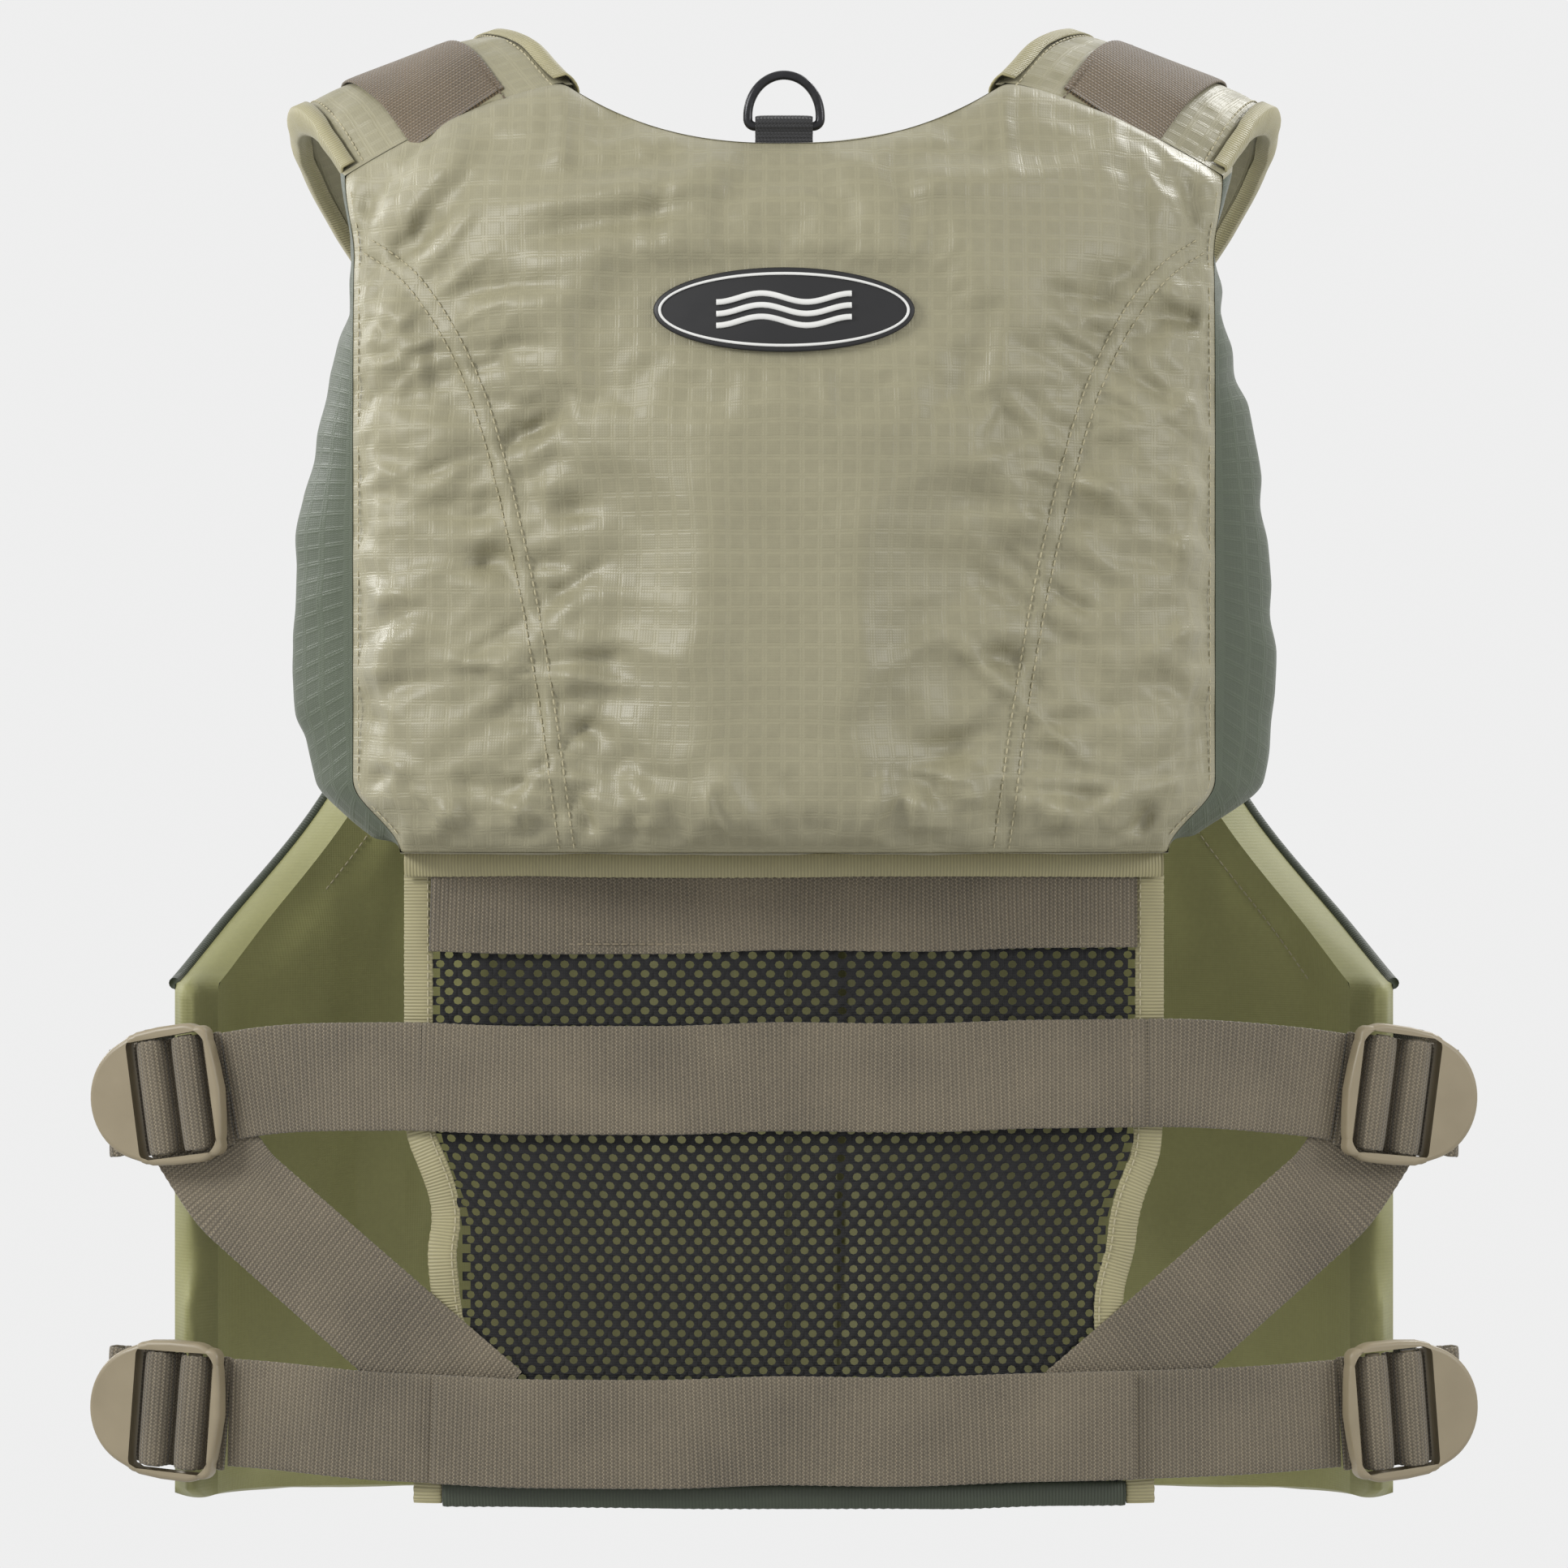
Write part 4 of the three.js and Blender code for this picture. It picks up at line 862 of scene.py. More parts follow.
def line_distance(points, curve):
    """Distance of each point from a polyline in a plane, and how far along it the nearest spot is."""
    best = np.full(len(points), 1e9)
    where = np.zeros(len(points))
    length = arc_length(curve)
    for i in range(len(curve) - 1):
        a, run = curve[i], curve[i + 1] - curve[i]
        t = np.clip(((points - a) @ run) / (run @ run), 0, 1)
        d = np.linalg.norm(points - a - t[:, None] * run, axis=1)
        closer = d < best
        best[closer] = d[closer]
        where[closer] = length[i] + t[closer] * math.sqrt(run @ run)
    return best, where


def gathers(line, spacing, turn, seed, longest=40):
    """Short folds that start along a sewn line and die out into the cloth on one side of it."""
    chance = np.random.default_rng(seed)
    line = resample(line, 1)
    run = tangents(line)
    strokes = []
    for at in np.arange(5, len(line) - 5, spacing):
        i = int(at + chance.uniform(-3, 3))
        x, z = line[i]
        angle = math.atan2(run[i][1], run[i][0]) + turn + chance.uniform(-0.6, 0.6)
        reach = chance.uniform(0.4, 1) * longest
        height = chance.uniform(0.9, 2.6) * chance.choice([-1, 1])
        end_x, end_z = x + reach * math.cos(angle), z + reach * math.sin(angle)
        strokes.append((x, z, end_x, end_z, chance.uniform(2.4, 4.8), height))
    return strokes


def strokes_relief(x, z, strokes):
    """Height of soft ridges and creases along straight strokes."""
    flat = np.stack([np.ravel(x), np.ravel(z)], -1)
    bend = 1.4 * noise(flat[:, 0], flat[:, 1], 15, 12)
    total = np.zeros(len(flat))
    for x0, z0, x1, z1, width, height in strokes:
        gap, along = line_distance(flat, np.array([(x0, z0), (x1, z1)], float))
        length = math.hypot(x1 - x0, z1 - z0)
        ends = np.clip(np.minimum(along, length - along) / (0.3 * length) + 0.1, 0, 1)
        total += height * ends * np.exp(-(((gap + bend) / width) ** 2))
    return total.reshape(np.shape(x))


def princess_seam(side):
    return uniform_spline(SEAM_CURVE, 60) * (side, 1)


def quiet_near_badge(x, z):
    """0 under the badge and the collar tab, where the cover is held flat, and 1 away from them."""
    badge = np.hypot(x / BADGE_HALF[0], (z - BADGE_Z) / BADGE_HALF[1])
    tab = np.hypot(x / 12, (z - NECK_BACK) / 12)
    return smooth(1.0, 1.6, badge) * smooth(1.0, 1.8, tab)


def cover_relief(x, z):
    """How far the cover stands out from its plain curve: seams, puckers and folds."""
    flat = np.stack([x, z], -1)
    relief = 1.6 * noise(x, z * 0.4, 30, 3) + 0.45 * noise(x, z, 12, 4)
    strokes = list(FOLDS)
    for side in (LEFT, RIGHT):
        gap, _ = line_distance(flat, princess_seam(side))
        relief += 3.8 * (1 - np.exp(-gap / 14)) - 3.0
        relief += 1.5 * np.exp(-((gap / 1.9) ** 2))
        for turn in (math.pi / 2, -math.pi / 2):
            strokes += gathers(princess_seam(side), 8.5, turn, 21 + side)
    for side in (LEFT, RIGHT):
        edge = np.array([(side * 148, 252), (side * 148, 440)], float)
        strokes += gathers(edge, 15, side * math.pi / 2, 45 + side, 30)
    hem = np.array([(-128, FLOAT_BOTTOM + 4), (128, FLOAT_BOTTOM + 4)], float)
    strokes += gathers(hem, 11, math.pi / 2, 41, 32)
    relief += 1.5 * strokes_relief(x, z, strokes)
    return relief * quiet_near_badge(x, z)


def cover_inset(x, z, top):
    """Distance from the nearest edge of the cover."""
    return np.minimum(np.minimum(float_half_width(z) - np.abs(x), z - FLOAT_BOTTOM), top - z)


def cover_roll(inset):
    """How far the cover turns in towards its edge, at a distance from that edge."""
    edge = np.clip(1 - inset / FLOAT_ROLL_WIDTH, 0, 1)
    return FLOAT_ROLL * (1 - np.sqrt(1 - 0.97 * edge**2)) / (1 - math.sqrt(0.03))


def cover_point(u, v):
    top = float_top(2 * u - 1)
    z = FLOAT_BOTTOM + (top - FLOAT_BOTTOM) * v
    x = (2 * u - 1) * float_half_width(z)
    y = float_face(x, z) - cover_roll(cover_inset(x, z, top))
    return np.stack([x, y, z], -1)


def back_cover():
    u, v = np.meshgrid(np.linspace(0, 1, 96), np.linspace(0, 1, 82))
    points = cover_point(u, v)
    obj = sheet("back_float_cover", points, points[..., [0, 2]])
    flat = points.reshape(-1, 3)[:, [0, 2]]
    inset = cover_inset(flat[:, 0], flat[:, 1], float_top(2 * u - 1).ravel())
    pins = np.exp(-((np.maximum(inset, 0) / 3) ** 2))
    for side in (LEFT, RIGHT):
        gap, _ = line_distance(flat, princess_seam(side))
        pins = np.maximum(pins, np.exp(-((gap / 5.5) ** 2)))
    pins = np.maximum(pins, 1 - quiet_near_badge(flat[:, 0], flat[:, 1]))
    pins = np.maximum(np.where(pins > 0.35, 1, pins), 0.03)
    crumple(obj, pins, surplus=0.045, limit=4.5)
    subdivided(obj, 1)
    apply_modifiers(obj)
    points = coordinates(obj)
    top = float_top(np.clip(points[:, 0] / float_half_width(points[:, 2]), -1, 1))
    inset = cover_inset(points[:, 0], points[:, 2], top)
    ease = smooth(0, RELIEF_EDGE, inset)
    points[:, 1] += cover_relief(points[:, 0], points[:, 2]) * ease
    move_to(obj, points)
    done(obj, "khaki", "back", ["back_cover", "back_foam"])
    for side in (LEFT, RIGHT):
        seam_rows(side)
    cover_edge_rows()


def cover_y(x, z):
    top = float_top(np.clip(x / float_half_width(z), -1, 1))
    inset = cover_inset(x, z, top)
    return float_face(x, z) - cover_roll(inset) + cover_relief(x, z) * smooth(0, RELIEF_EDGE, inset)


def seam_rows(side):
    """Two rows of stitches, one on each side of a princess seam."""
    seam = resample(princess_seam(side), 3)[2:-1]
    across = unit(np.stack([-np.gradient(seam[:, 1]), np.gradient(seam[:, 0])], -1))
    for offset in (-2.6, 2.6):
        flat = seam + across * offset
        y = cover_y(flat[:, 0], flat[:, 1])
        line = np.stack([flat[:, 0], y, flat[:, 1]], -1)
        stitch("back", "thread", line, np.tile([0, 1.0, 0], (len(line), 1)), lift=0.5)


def cover_edge_rows():
    """A row of stitches just inside each side of the cover."""
    z = np.linspace(FLOAT_BOTTOM + 6, SEAM_END - 6, 90)
    for side in (LEFT, RIGHT):
        x = side * (float_half_width(z) - 2.6)
        line = np.stack([x, cover_y(x, z), z], -1)
        stitch("back", "thread", line, unit(np.stack([x, 60 + 0 * x, 0 * z], -1)), lift=0.35)


def perimeter(count):
    """Points round the unit square, from the bottom left corner."""
    t = np.linspace(0, 4, count, endpoint=False)
    side = t.astype(int)
    f = t - side
    u = np.choose(side, [f, 1 + 0 * f, 1 - f, 0 * f])
    v = np.choose(side, [0 * f, f, 1 + 0 * f, 1 - f])
    return u, v


def back_liner():
    """The gusset round the float and the smooth body side."""
    u, v = perimeter(640)
    w = np.linspace(0, 1, 22)[:, None]
    z = FLOAT_BOTTOM + (float_top(2 * u - 1) - FLOAT_BOTTOM) * v
    lift = (float_thickness(z) - FLOAT_ROLL + 0.6) * (1 - w)
    span = np.clip((z - FLOAT_BOTTOM) / (425 - FLOAT_BOTTOM), 0, 1)
    at_side = smooth(0, 0.06, v) * smooth(0.44, 0.5, np.abs(u - 0.5))
    bulge = GUSSET_BULGE * np.sin(np.pi * span**0.85) * at_side + 0.6 + 1.6 * at_side
    profile = np.sin(np.pi * w) ** 0.75
    along = np.linspace(0, 1160, len(u))
    wrinkle = 1.5 * noise(along, w * 22, 13, 31) + 1.2 * noise(along, w * 12, 31, 32)
    wrinkle = wrinkle * (0.25 + 0.75 * at_side)
    inset = -(bulge + wrinkle) * profile
    points = in_float(u[None], v[None], lift, inset)
    cloth = np.stack(np.broadcast_arrays(along[None], w * 48), -1)
    rows, columns = points.shape[:2]
    faces = grid_faces(rows, columns, wrap=True)
    gusset = add_mesh("float_gusset", points, faces, cloth)
    done(gusset, "sage", "back", ["back_lining"])
    second_material(gusset, "khaki", np.tile((v < 0.001) | (v > 0.999), rows - 1))
    us, vs = np.meshgrid(np.linspace(0, 1, 110), np.linspace(0, 1, 90))
    edge = np.minimum(np.minimum(us, 1 - us) * 300, np.minimum(vs, 1 - vs) * 250)
    folds = 1.5 * noise(us * 300, vs * 250, 34, 33) + 0.8 * noise(us * 300, vs * 120, 14, 34)
    quilt = 2.6 * smooth(0, 22, edge) + folds * smooth(0, 10, edge)
    body = in_float(us, vs, -np.maximum(quilt, 0), 0.3)
    panel = sheet("float_body_side", body, np.stack([us * 300, vs * 250], -1))
    done(panel, "sage", "back")


def badge():
    """An oval soft badge: a raised white ring and a plain wave motif."""
    (width, height), middle = BADGE_HALF, BADGE_Z
    turn = np.linspace(0, 2 * np.pi, 97)[:-1]

    def ovals(name, key, steps):
        """A surface through ovals: each step is a half width, a half height and a lift."""
        rows = []
        for half_width, half_height, lift in steps:
            x, z = half_width * np.cos(turn), middle + half_height * np.sin(turn)
            rows.append(np.stack([x, float_face(x, z) + lift, z], -1))
        obj = add_mesh(name, np.stack(rows), grid_faces(len(rows), len(turn), wrap=True))
        obj.data.materials.append(M[key])
        return obj

    def wave_bar(name, z0):
        x = np.linspace(-23, 23, 60)
        z = middle + z0 + 1.5 * np.sin(x / 23 * math.pi * 1.5)
        line = np.stack([x, float_face(x, z) + 2.4, z], -1)
        obj = tube(name, line, 1.0, flatten=0.5, sides=10)
        obj.data.materials.append(M["white_rubber"])
        return obj

    plate = [(1.0, -1.0), (1.0, 1.9), (0.985, 2.28), (0.95, 2.4), (0.0, 2.4)]
    ring = [(1.6, 1.6), (1.7, 2.75), (2.6, 2.75), (2.7, 1.6)]
    parts = [
        ovals("badge_plate", "rubber", [(width * scale, height * scale, lift) for scale, lift in plate]),
        ovals("badge_ring", "white_rubber", [(width - inset, height - inset, lift) for inset, lift in ring]),
    ]
    parts += [wave_bar(f"badge_wave_{i}", z) for i, z in enumerate((-4.0, 0.0, 4.0))]
    done(merged("badge", parts), None, "back", ["badge_patch"])


RING_WIRE = 1.6
NECK_Y = float_face(0, NECK_BACK) - FLOAT_ROLL - 1.5 - 1.5 - 0.8 - WEBBING
BAR_Z = NECK_BACK + 6.4


def collar_ring():
    half, corner, top = 12.5, 2.5, 17.7
    bar = [(x, 0) for x in np.linspace(-half + corner, half - corner, 12)]
    bend = []
    for a in np.linspace(0.2, 1.5, 7):
        bend.append((half - corner + corner * math.sin(a), corner - corner * math.cos(a)))
    arch = []
    for a in np.linspace(0, math.pi, 48):
        arch.append((half * math.cos(a), corner + 1 + (top - corner - 1) * math.sin(a)))
    back = [(-x, z) for x, z in reversed(bend)]
    loop = np.array([(x, NECK_Y, BAR_Z + z) for x, z in bar + bend + arch + back])
    ring = tube("collar_d_ring", loop, RING_WIRE, closed=True, sides=16)
    done(ring, "metal", "collar_ring", ["collar_ring"])


def collar_tab():
    """A loop of webbing round the ring's bar, sewn down over the neckline."""
    radius = 3.1
    turn = np.linspace(math.radians(-35), math.radians(215), 20)
    loop = [(radius * math.cos(a), radius * math.sin(a)) for a in turn]
    front = [(4.4, -10), (3.6, -6.6), (2.9, -3.6)]
    back = [(-2.4, -3.4), (-1.4, -5.4)]
    line = np.array([(0, NECK_Y + y, BAR_Z + z) for y, z in front + loop + back])
    middle = np.array([0, NECK_Y, BAR_Z - 6.0])
    out = unit(line - middle)
    webbing = ribbon("collar_loop", line, out, width=20, thickness=1.5, step=0.7, scallop=0.15)
    done(webbing, "black", "back", ["collar_tab"])


# ---------------------------------------------------------------- mesh back and webbing


def mesh_half_width(z):
    below = 1 - smooth(MID_STRAP_Z - 55, MID_STRAP_Z - 15, z)
    flare = 1 - smooth(MESH_BOTTOM, LOW_STRAP_Z + 40, z)
    return MESH_HALF_WIDTH - MESH_WAIST * below * (1 - 0.7 * flare)


CELL_WIDTH, CELL_HEIGHT = 6.3, 3.2
HOLE = (1.65, 1.38)


def mesh_panel():
    """Knitted mesh: staggered rows of oval holes."""
    ring = [(-1, -1), (0, -1), (1, -1), (1, 0), (1, 1), (0, 1), (-1, 1), (-1, 0)]
    rows = int((MESH_TOP - 2 - MESH_BOTTOM) / CELL_HEIGHT)
    columns = int(2 * MESH_HALF_WIDTH / CELL_WIDTH)
    ids, points, faces = {}, [], []

    def vertex(x, z):
        key = (round(x, 2), round(z, 2))
        if key not in ids:
            ids[key] = len(points)
            points.append((x, z))
        return ids[key]

    for j in range(rows):
        for i in range(columns):
            x = (i + 0.5 + 0.5 * (j % 2)) * CELL_WIDTH - (columns + 0.5) * CELL_WIDTH / 2
            z = MESH_BOTTOM + 1 + (j + 0.5) * CELL_HEIGHT
            outer = [vertex(x + a * CELL_WIDTH / 2, z + b * CELL_HEIGHT / 2) for a, b in ring]
            inner = []
            for a, b in ring:
                length = math.hypot(a, b)
                inner.append(vertex(x + HOLE[0] * a / length, z + HOLE[1] * b / length))
            for k in range(8):
                n = (k + 1) % 8
                faces.append((outer[k], outer[n], inner[n], inner[k]))
    flat = np.array(points)
    z = flat[:, 1]
    x = flat[:, 0] * mesh_half_width(z) / ((columns + 0.5) * CELL_WIDTH / 2)
    sag = 1.0 * noise(x, z, 45, 41) * smooth(123, 100, np.abs(x))
    y = back_curve(x) - 0.2 + np.maximum(sag, -1.2) * 0.6
    obj = add_mesh("lower_back_mesh", np.stack([x, y, z], -1), faces, flat)
    solid = obj.modifiers.new("Thickness", "SOLIDIFY")
    solid.thickness = 0.7 * MM
    solid.offset = 0
    done(obj, "knit", "back", ["mesh_panel"])


def on_back(x, z, lift):
    return np.stack(np.broadcast_arrays(x, back_curve(x) + lift, z), -1)


def back_normal(x):
    slope = -2 * BACK_BOW * np.asarray(x) / BOW_REACH**2
    return unit(np.stack([-slope, 1 + 0 * slope, 0 * slope], -1))


def strap_wave(x, z):
    """Slack webbing stands away from the mesh in soft waves, and lies flat where it is threaded."""
    slack = smooth(185, 150, np.abs(x))
    return slack * (0.9 * noise(x, z, 30, 51) + 0.5)


def back_strap(name, x0, x1, height, lift, width=WEBBING_WIDTH):
    """Webbing on the curve of the back from x0 to x1 at height(x)."""
    x = np.linspace(x0, x1, 120)
    z = height(x) + 1.5 * noise(x, 0 * x, 45, 52)
    line = on_back(x, z, lift + WEBBING / 2 + strap_wave(x, z))
    done(ribbon(name, line, back_normal(x), width=width), "webbing", "back", [name])


def cross_stitch(body, x, z, lift, half=16.5):
    """A row of stitches across webbing on the back."""
    zs = np.linspace(z - half, z + half, 14)
    line = on_back(np.full_like(zs, x), zs, lift)
    stitch(body, "taupe_thread", line, np.tile(back_normal(np.array(x)), (len(zs), 1)))


def end_share(x, seam):
    return np.clip((np.abs(x) - seam) / (STRAP_END - seam), 0, 1)


def mid_height(x):
    return MID_STRAP_Z - MID_STRAP_DROP * end_share(x, MID_STRAP_SEAM) ** 2


def low_height(x):
    return LOW_STRAP_Z + LOW_STRAP_RISE * end_share(x, LOW_STRAP_SEAM) ** 2


def straps():
    top = MESH_TOP - 17
    back_strap("upper_back_band", -MESH_HALF_WIDTH, MESH_HALF_WIDTH, lambda x: top + 0 * x, 0.8, width=34)
    back_strap("mid_strap_centre", -126.3, 126.3, lambda x: MID_STRAP_Z + 0 * x, STRAP_LIFT)
    low = STRAP_LIFT + WEBBING + 0.4
    back_strap("lower_strap_centre", -LOW_STRAP_SEAM, LOW_STRAP_SEAM, lambda x: LOW_STRAP_Z + 0 * x, low)
    for x in (-118, -114, 114, 118):
        cross_stitch("back", x, LOW_STRAP_Z, low + WEBBING)
    for x in (-121, 121):
        cross_stitch("back", x, MID_STRAP_Z, STRAP_LIFT + WEBBING)
    for z in (top + 14.5, top - 14.5):
        x = np.linspace(-121, 121, 90)
        stitch("back", "taupe_thread", on_back(x, z + 0 * x, 0.8 + WEBBING), back_normal(x))
    for side, word in SIDES.items():
        back_strap(f"mid_strap_end_{word}", side * 126.4, side * 194.6, mid_height, STRAP_LIFT)
        back_strap(f"lower_strap_end_{word}", side * 100, side * 194.6, low_height, STRAP_LIFT)
        diagonal(side, word)


def diagonal(side, word):
    t = np.linspace(0, 1.08, 80)
    x = side * (DIAGONAL_FROM[0] + (DIAGONAL_TO[0] - DIAGONAL_FROM[0]) * t)
    z = DIAGONAL_FROM[1] + (DIAGONAL_TO[1] - DIAGONAL_FROM[1]) * t + 12 * smooth(0.84, 1.1, t)
    line = on_back(x, z, DIAGONAL_LIFT + 0.6 * np.sin(np.pi * np.minimum(t, 1)))
    obj = ribbon(f"diagonal_strap_{word}", line, back_normal(x), thickness=1.3)
    done(obj, "webbing", "back", [f"diagonal_strap_{word}"])


def bindings():
    x = np.linspace(-MESH_HALF_WIDTH - 9, MESH_HALF_WIDTH + 9, 120)
    hem_x = x * 0.9
    line = on_back(x, MESH_TOP - 3.6 + 0.4 * noise(x, 0 * x, 30, 61), 4.2)
    tape = ribbon("mesh_top_binding", line, back_normal(x), width=9.5, thickness=1.6, crown=0.8)
    done(tape, "binding", "back", ["mesh_top_binding"])
    hem = on_back(hem_x, 14.5 + 0.4 * noise(hem_x, 0 * hem_x, 30, 62), 0.2)
    tape = ribbon("mesh_hem_binding", hem, back_normal(hem_x), width=9, thickness=2.6, crown=0.5)
    done(tape, "dark_binding", "back")
    for side, word in SIDES.items():
        z = np.linspace(MESH_BOTTOM - 3, MESH_TOP - 7, 130)
        slack = smooth(150, 130, z) * smooth(40, 60, z)
        wander = 2.2 * np.sin(z / 13.0 + side) + 1.5 * noise(z, 0 * z, 17, 63 + side)
        x = side * (mesh_half_width(z) + 4.5 + slack * wander)
        lift = 0.2 + slack * 1.5 * noise(z, 0 * z, 19, 66 + side)
        line = on_back(x, z, lift)
        name = f"mesh_side_binding_{word}"
        tape = ribbon(name, line, back_normal(x), width=BINDING_WIDTH, thickness=1.9, crown=0.4)
        done(tape, "binding", "back", [name])
        sewn = z > LOW_STRAP_Z
        edge = on_back(x - side * 3.4, z, lift + 1.3)[sewn]
        stitch("back", "thread", edge, back_normal(x)[sewn])


# ---------------------------------------------------------------- ladder-lock buckles


def buckle_frame(start, along, out):
    """The buckle's own axes: origin at its middle, x to the lobe, y across, z to the wearer."""
    z = -out
    y = unit(np.cross(z, along))
    z = np.cross(along, y)
    origin = start + along * BUCKLE_HALF_LENGTH - z * STRAP_DEPTH
    return origin, np.stack([along, y, z], 1)


def rounded_plate(name, loops, thickness, rounding):
    """A plate from outlines, with rounded edges; the first loop is the outside."""
    curve = bpy.data.curves.new(name, "CURVE")
    curve.dimensions = "2D"
    curve.fill_mode = "BOTH"
    curve.extrude = thickness / 2 - rounding
    curve.bevel_depth = rounding
    curve.bevel_resolution = 3
    for loop in loops:
        spline = curve.splines.new("POLY")
        spline.points.add(len(loop) - 1)
        places = np.hstack([loop, np.zeros((len(loop), 1)), np.ones((len(loop), 1))])
        spline.points.foreach_set("co", places.ravel())
        spline.use_cyclic_u = True
    obj = bpy.data.objects.new(name, curve)
    SCENE.collection.objects.link(obj)
    bpy.context.view_layer.update()
    mesh = bpy.data.meshes.new_from_object(obj.evaluated_get(bpy.context.evaluated_depsgraph_get()))
    bpy.data.objects.remove(obj)
    flat = np.empty(len(mesh.vertices) * 3)
    mesh.vertices.foreach_get("co", flat)
    faces = [list(p.vertices) for p in mesh.polygons]
    bpy.data.meshes.remove(mesh)
    return flat.reshape(-1, 3), faces


def arc(cx, cy, rx, ry, start, end, count=10):
    a = np.radians(np.linspace(start, end, count))
    return [(cx + rx * math.cos(t), cy + ry * math.sin(t)) for t in a]


def buckle_outline(r):
    """Outline of the frame: bowed inner edge, rounded corners, and a lobe that narrows in one arc."""
    half, tip = 24.5 - r, BUCKLE_HALF_LENGTH - r
    upper = [(-tip, 0.0), (0.6 - tip, 8.0)]
    upper += arc(10 - tip, half - 9, 8.6, 9, 172, 90)
    upper += [(-4, half - 0.1), (4, half - 0.9)]
    upper += arc(tip - 19, 0, 19, half - 2.6, 66, 0, 12)
    lower = [(x, -y) for x, y in reversed(upper[1:-1])]
    return np.array(upper + lower)


def buckle_window(r):
    x0, x1, half = WINDOW_START - r, WINDOW_END + r, 20 + r
    upper = arc(x0 + 2, half - 2, 2, 2, 180, 90, 5) + arc(x1 - 3, half - 3, 3, 3, 90, 0, 6)
    return np.array(upper + [(x, -y) for x, y in reversed(upper)])


def place_local(points, origin, axes):
    return origin + np.asarray(points) @ axes.T


def threaded_path():
    side = 2.75 + 0.4 + 0.8 + 0.6
    over = 1.5 + 0.4 + 0.8

    def rise(bar):
        return [
            (bar - side, -1.8),
            (bar - side + 0.1, 0.9),
            (bar - 2, over + 0.6),
            (bar, over + 1.0),
            (bar + 2, over + 0.6),
            (bar + side - 0.1, 0.9),
            (bar + side, -1.8),
        ]

    return uniform_spline(
        [
            (-BUCKLE_HALF_LENGTH + 0.2, -STRAP_DEPTH),
            (WINDOW_START - 1, -STRAP_DEPTH),
            (WINDOW_START + 1.3, 0.6 - STRAP_DEPTH),
            *rise(FIRST_BAR),
            ((FIRST_BAR + SECOND_BAR) / 2, 1 - STRAP_DEPTH),
            *rise(SECOND_BAR),
            (WINDOW_END - 1.3, 0.6 - STRAP_DEPTH),
            (WINDOW_END + 1, -STRAP_DEPTH),
            (WINDOW_END + 9, -STRAP_DEPTH),
        ],
        160,
    )


def buckle(level, side, start, along, out, webbing_key="webbing"):
    word = SIDES[side]
    body = f"{level}_buckle_{word}"
    origin, axes = buckle_frame(start, along, out)
    loops = [buckle_outline(1.5), buckle_window(1.5)]
    points, faces = rounded_plate("outline", loops, BUCKLE_THICKNESS - 0.6, 1.5)
    lobe = smooth(WINDOW_END, 24, points[:, 0])
    points[:, 2] *= 1 - 0.35 * lobe
    points[:, 2] -= 1.6 * lobe
    frame_piece = add_mesh(f"{body}_frame", place_local(points, origin, axes), faces)
    bars = []
    for x in (FIRST_BAR, SECOND_BAR):
        y = np.linspace(-20.5, 20.5, 24)
        line = place_local(np.stack([x + 0 * y, y, 0 * y], -1), origin, axes)
        bars.append(tube("bar", line, 2.75, flatten=0.55, up=tuple(-axes[:, 2])))
    frame_piece = merged(f"{body}_frame", [frame_piece, *bars])
    for polygon in frame_piece.data.polygons:
        polygon.use_smooth = True
    smooth_by_angle(frame_piece, 35)
    done(frame_piece, "plastic", body, [body])
    path = threaded_path()
    local = np.stack([path[:, 0], 0 * path[:, 0], -path[:, 1]], -1)
    turn = np.gradient(path, axis=0)
    normal = unit(np.stack([-turn[:, 1], 0 * turn[:, 0], -turn[:, 0]], -1))
    line = place_local(local, origin, axes)
    webbing = ribbon(f"{body}_webbing", line, normal @ axes.T, width=40.2, thickness=1.5, step=0.9)
    done(webbing, webbing_key, body, [f"{level}_buckle_webbing_{word}"])


def smooth_by_angle(obj, degrees):
    """Marks the edges that are sharper than an angle, so that flats stay flat."""
    mesh = obj.data
    normals = [p.normal.copy() for p in mesh.polygons]
    by_edge = {}
    for p in mesh.polygons:
        for key in p.edge_keys:
            by_edge.setdefault(key, []).append(p.index)
    limit = math.cos(math.radians(degrees))
    for edge in mesh.edges:
        pair = by_edge.get(edge.key, [])
        if len(pair) == 2 and normals[pair[0]].dot(normals[pair[1]]) < limit:
            edge.use_edge_sharp = True


WAIST_LEVELS = {"mid": mid_height, "lower": low_height}


def waist_buckle_place(level, side):
    """Where a waist buckle starts, the way it runs and the way it faces."""
    height = WAIST_LEVELS[level]
    slope = -2 * BACK_BOW * STRAP_END / BOW_REACH**2
    fall = float(height(STRAP_END) - height(STRAP_END - 1))
    y = float(back_curve(STRAP_END)) + STRAP_LIFT + WEBBING / 2
    start = np.array([side * STRAP_END, y, float(height(STRAP_END))])
    return start, unit(np.array([side, slope, fall])), unit(np.array([-slope * side, 1, 0]))


def back_buckles():
    for level in WAIST_LEVELS:
        for side in (LEFT, RIGHT):
            buckle(level, side, *waist_buckle_place(level, side))


# ---------------------------------------------------------------- shoulder straps


def to_frame(point, side):
    """A point of the left half, on either side of the vest, in metres in the shared frame."""
    return tuple((mirrored(point, side) - (0, 0, SHOULDER_REST)) * MM)


def strap_blend(side):
    """The back and the front panel that the strap spans, with a point on the strap near each."""
    word = SIDES[side]
    low = on_pad(0.5, 0.30, 0.0)
    high = on_pad(0.5, 0.95, 0.0)
    return ("back", f"front_{word}", to_frame(low, side), to_frame(high, side))


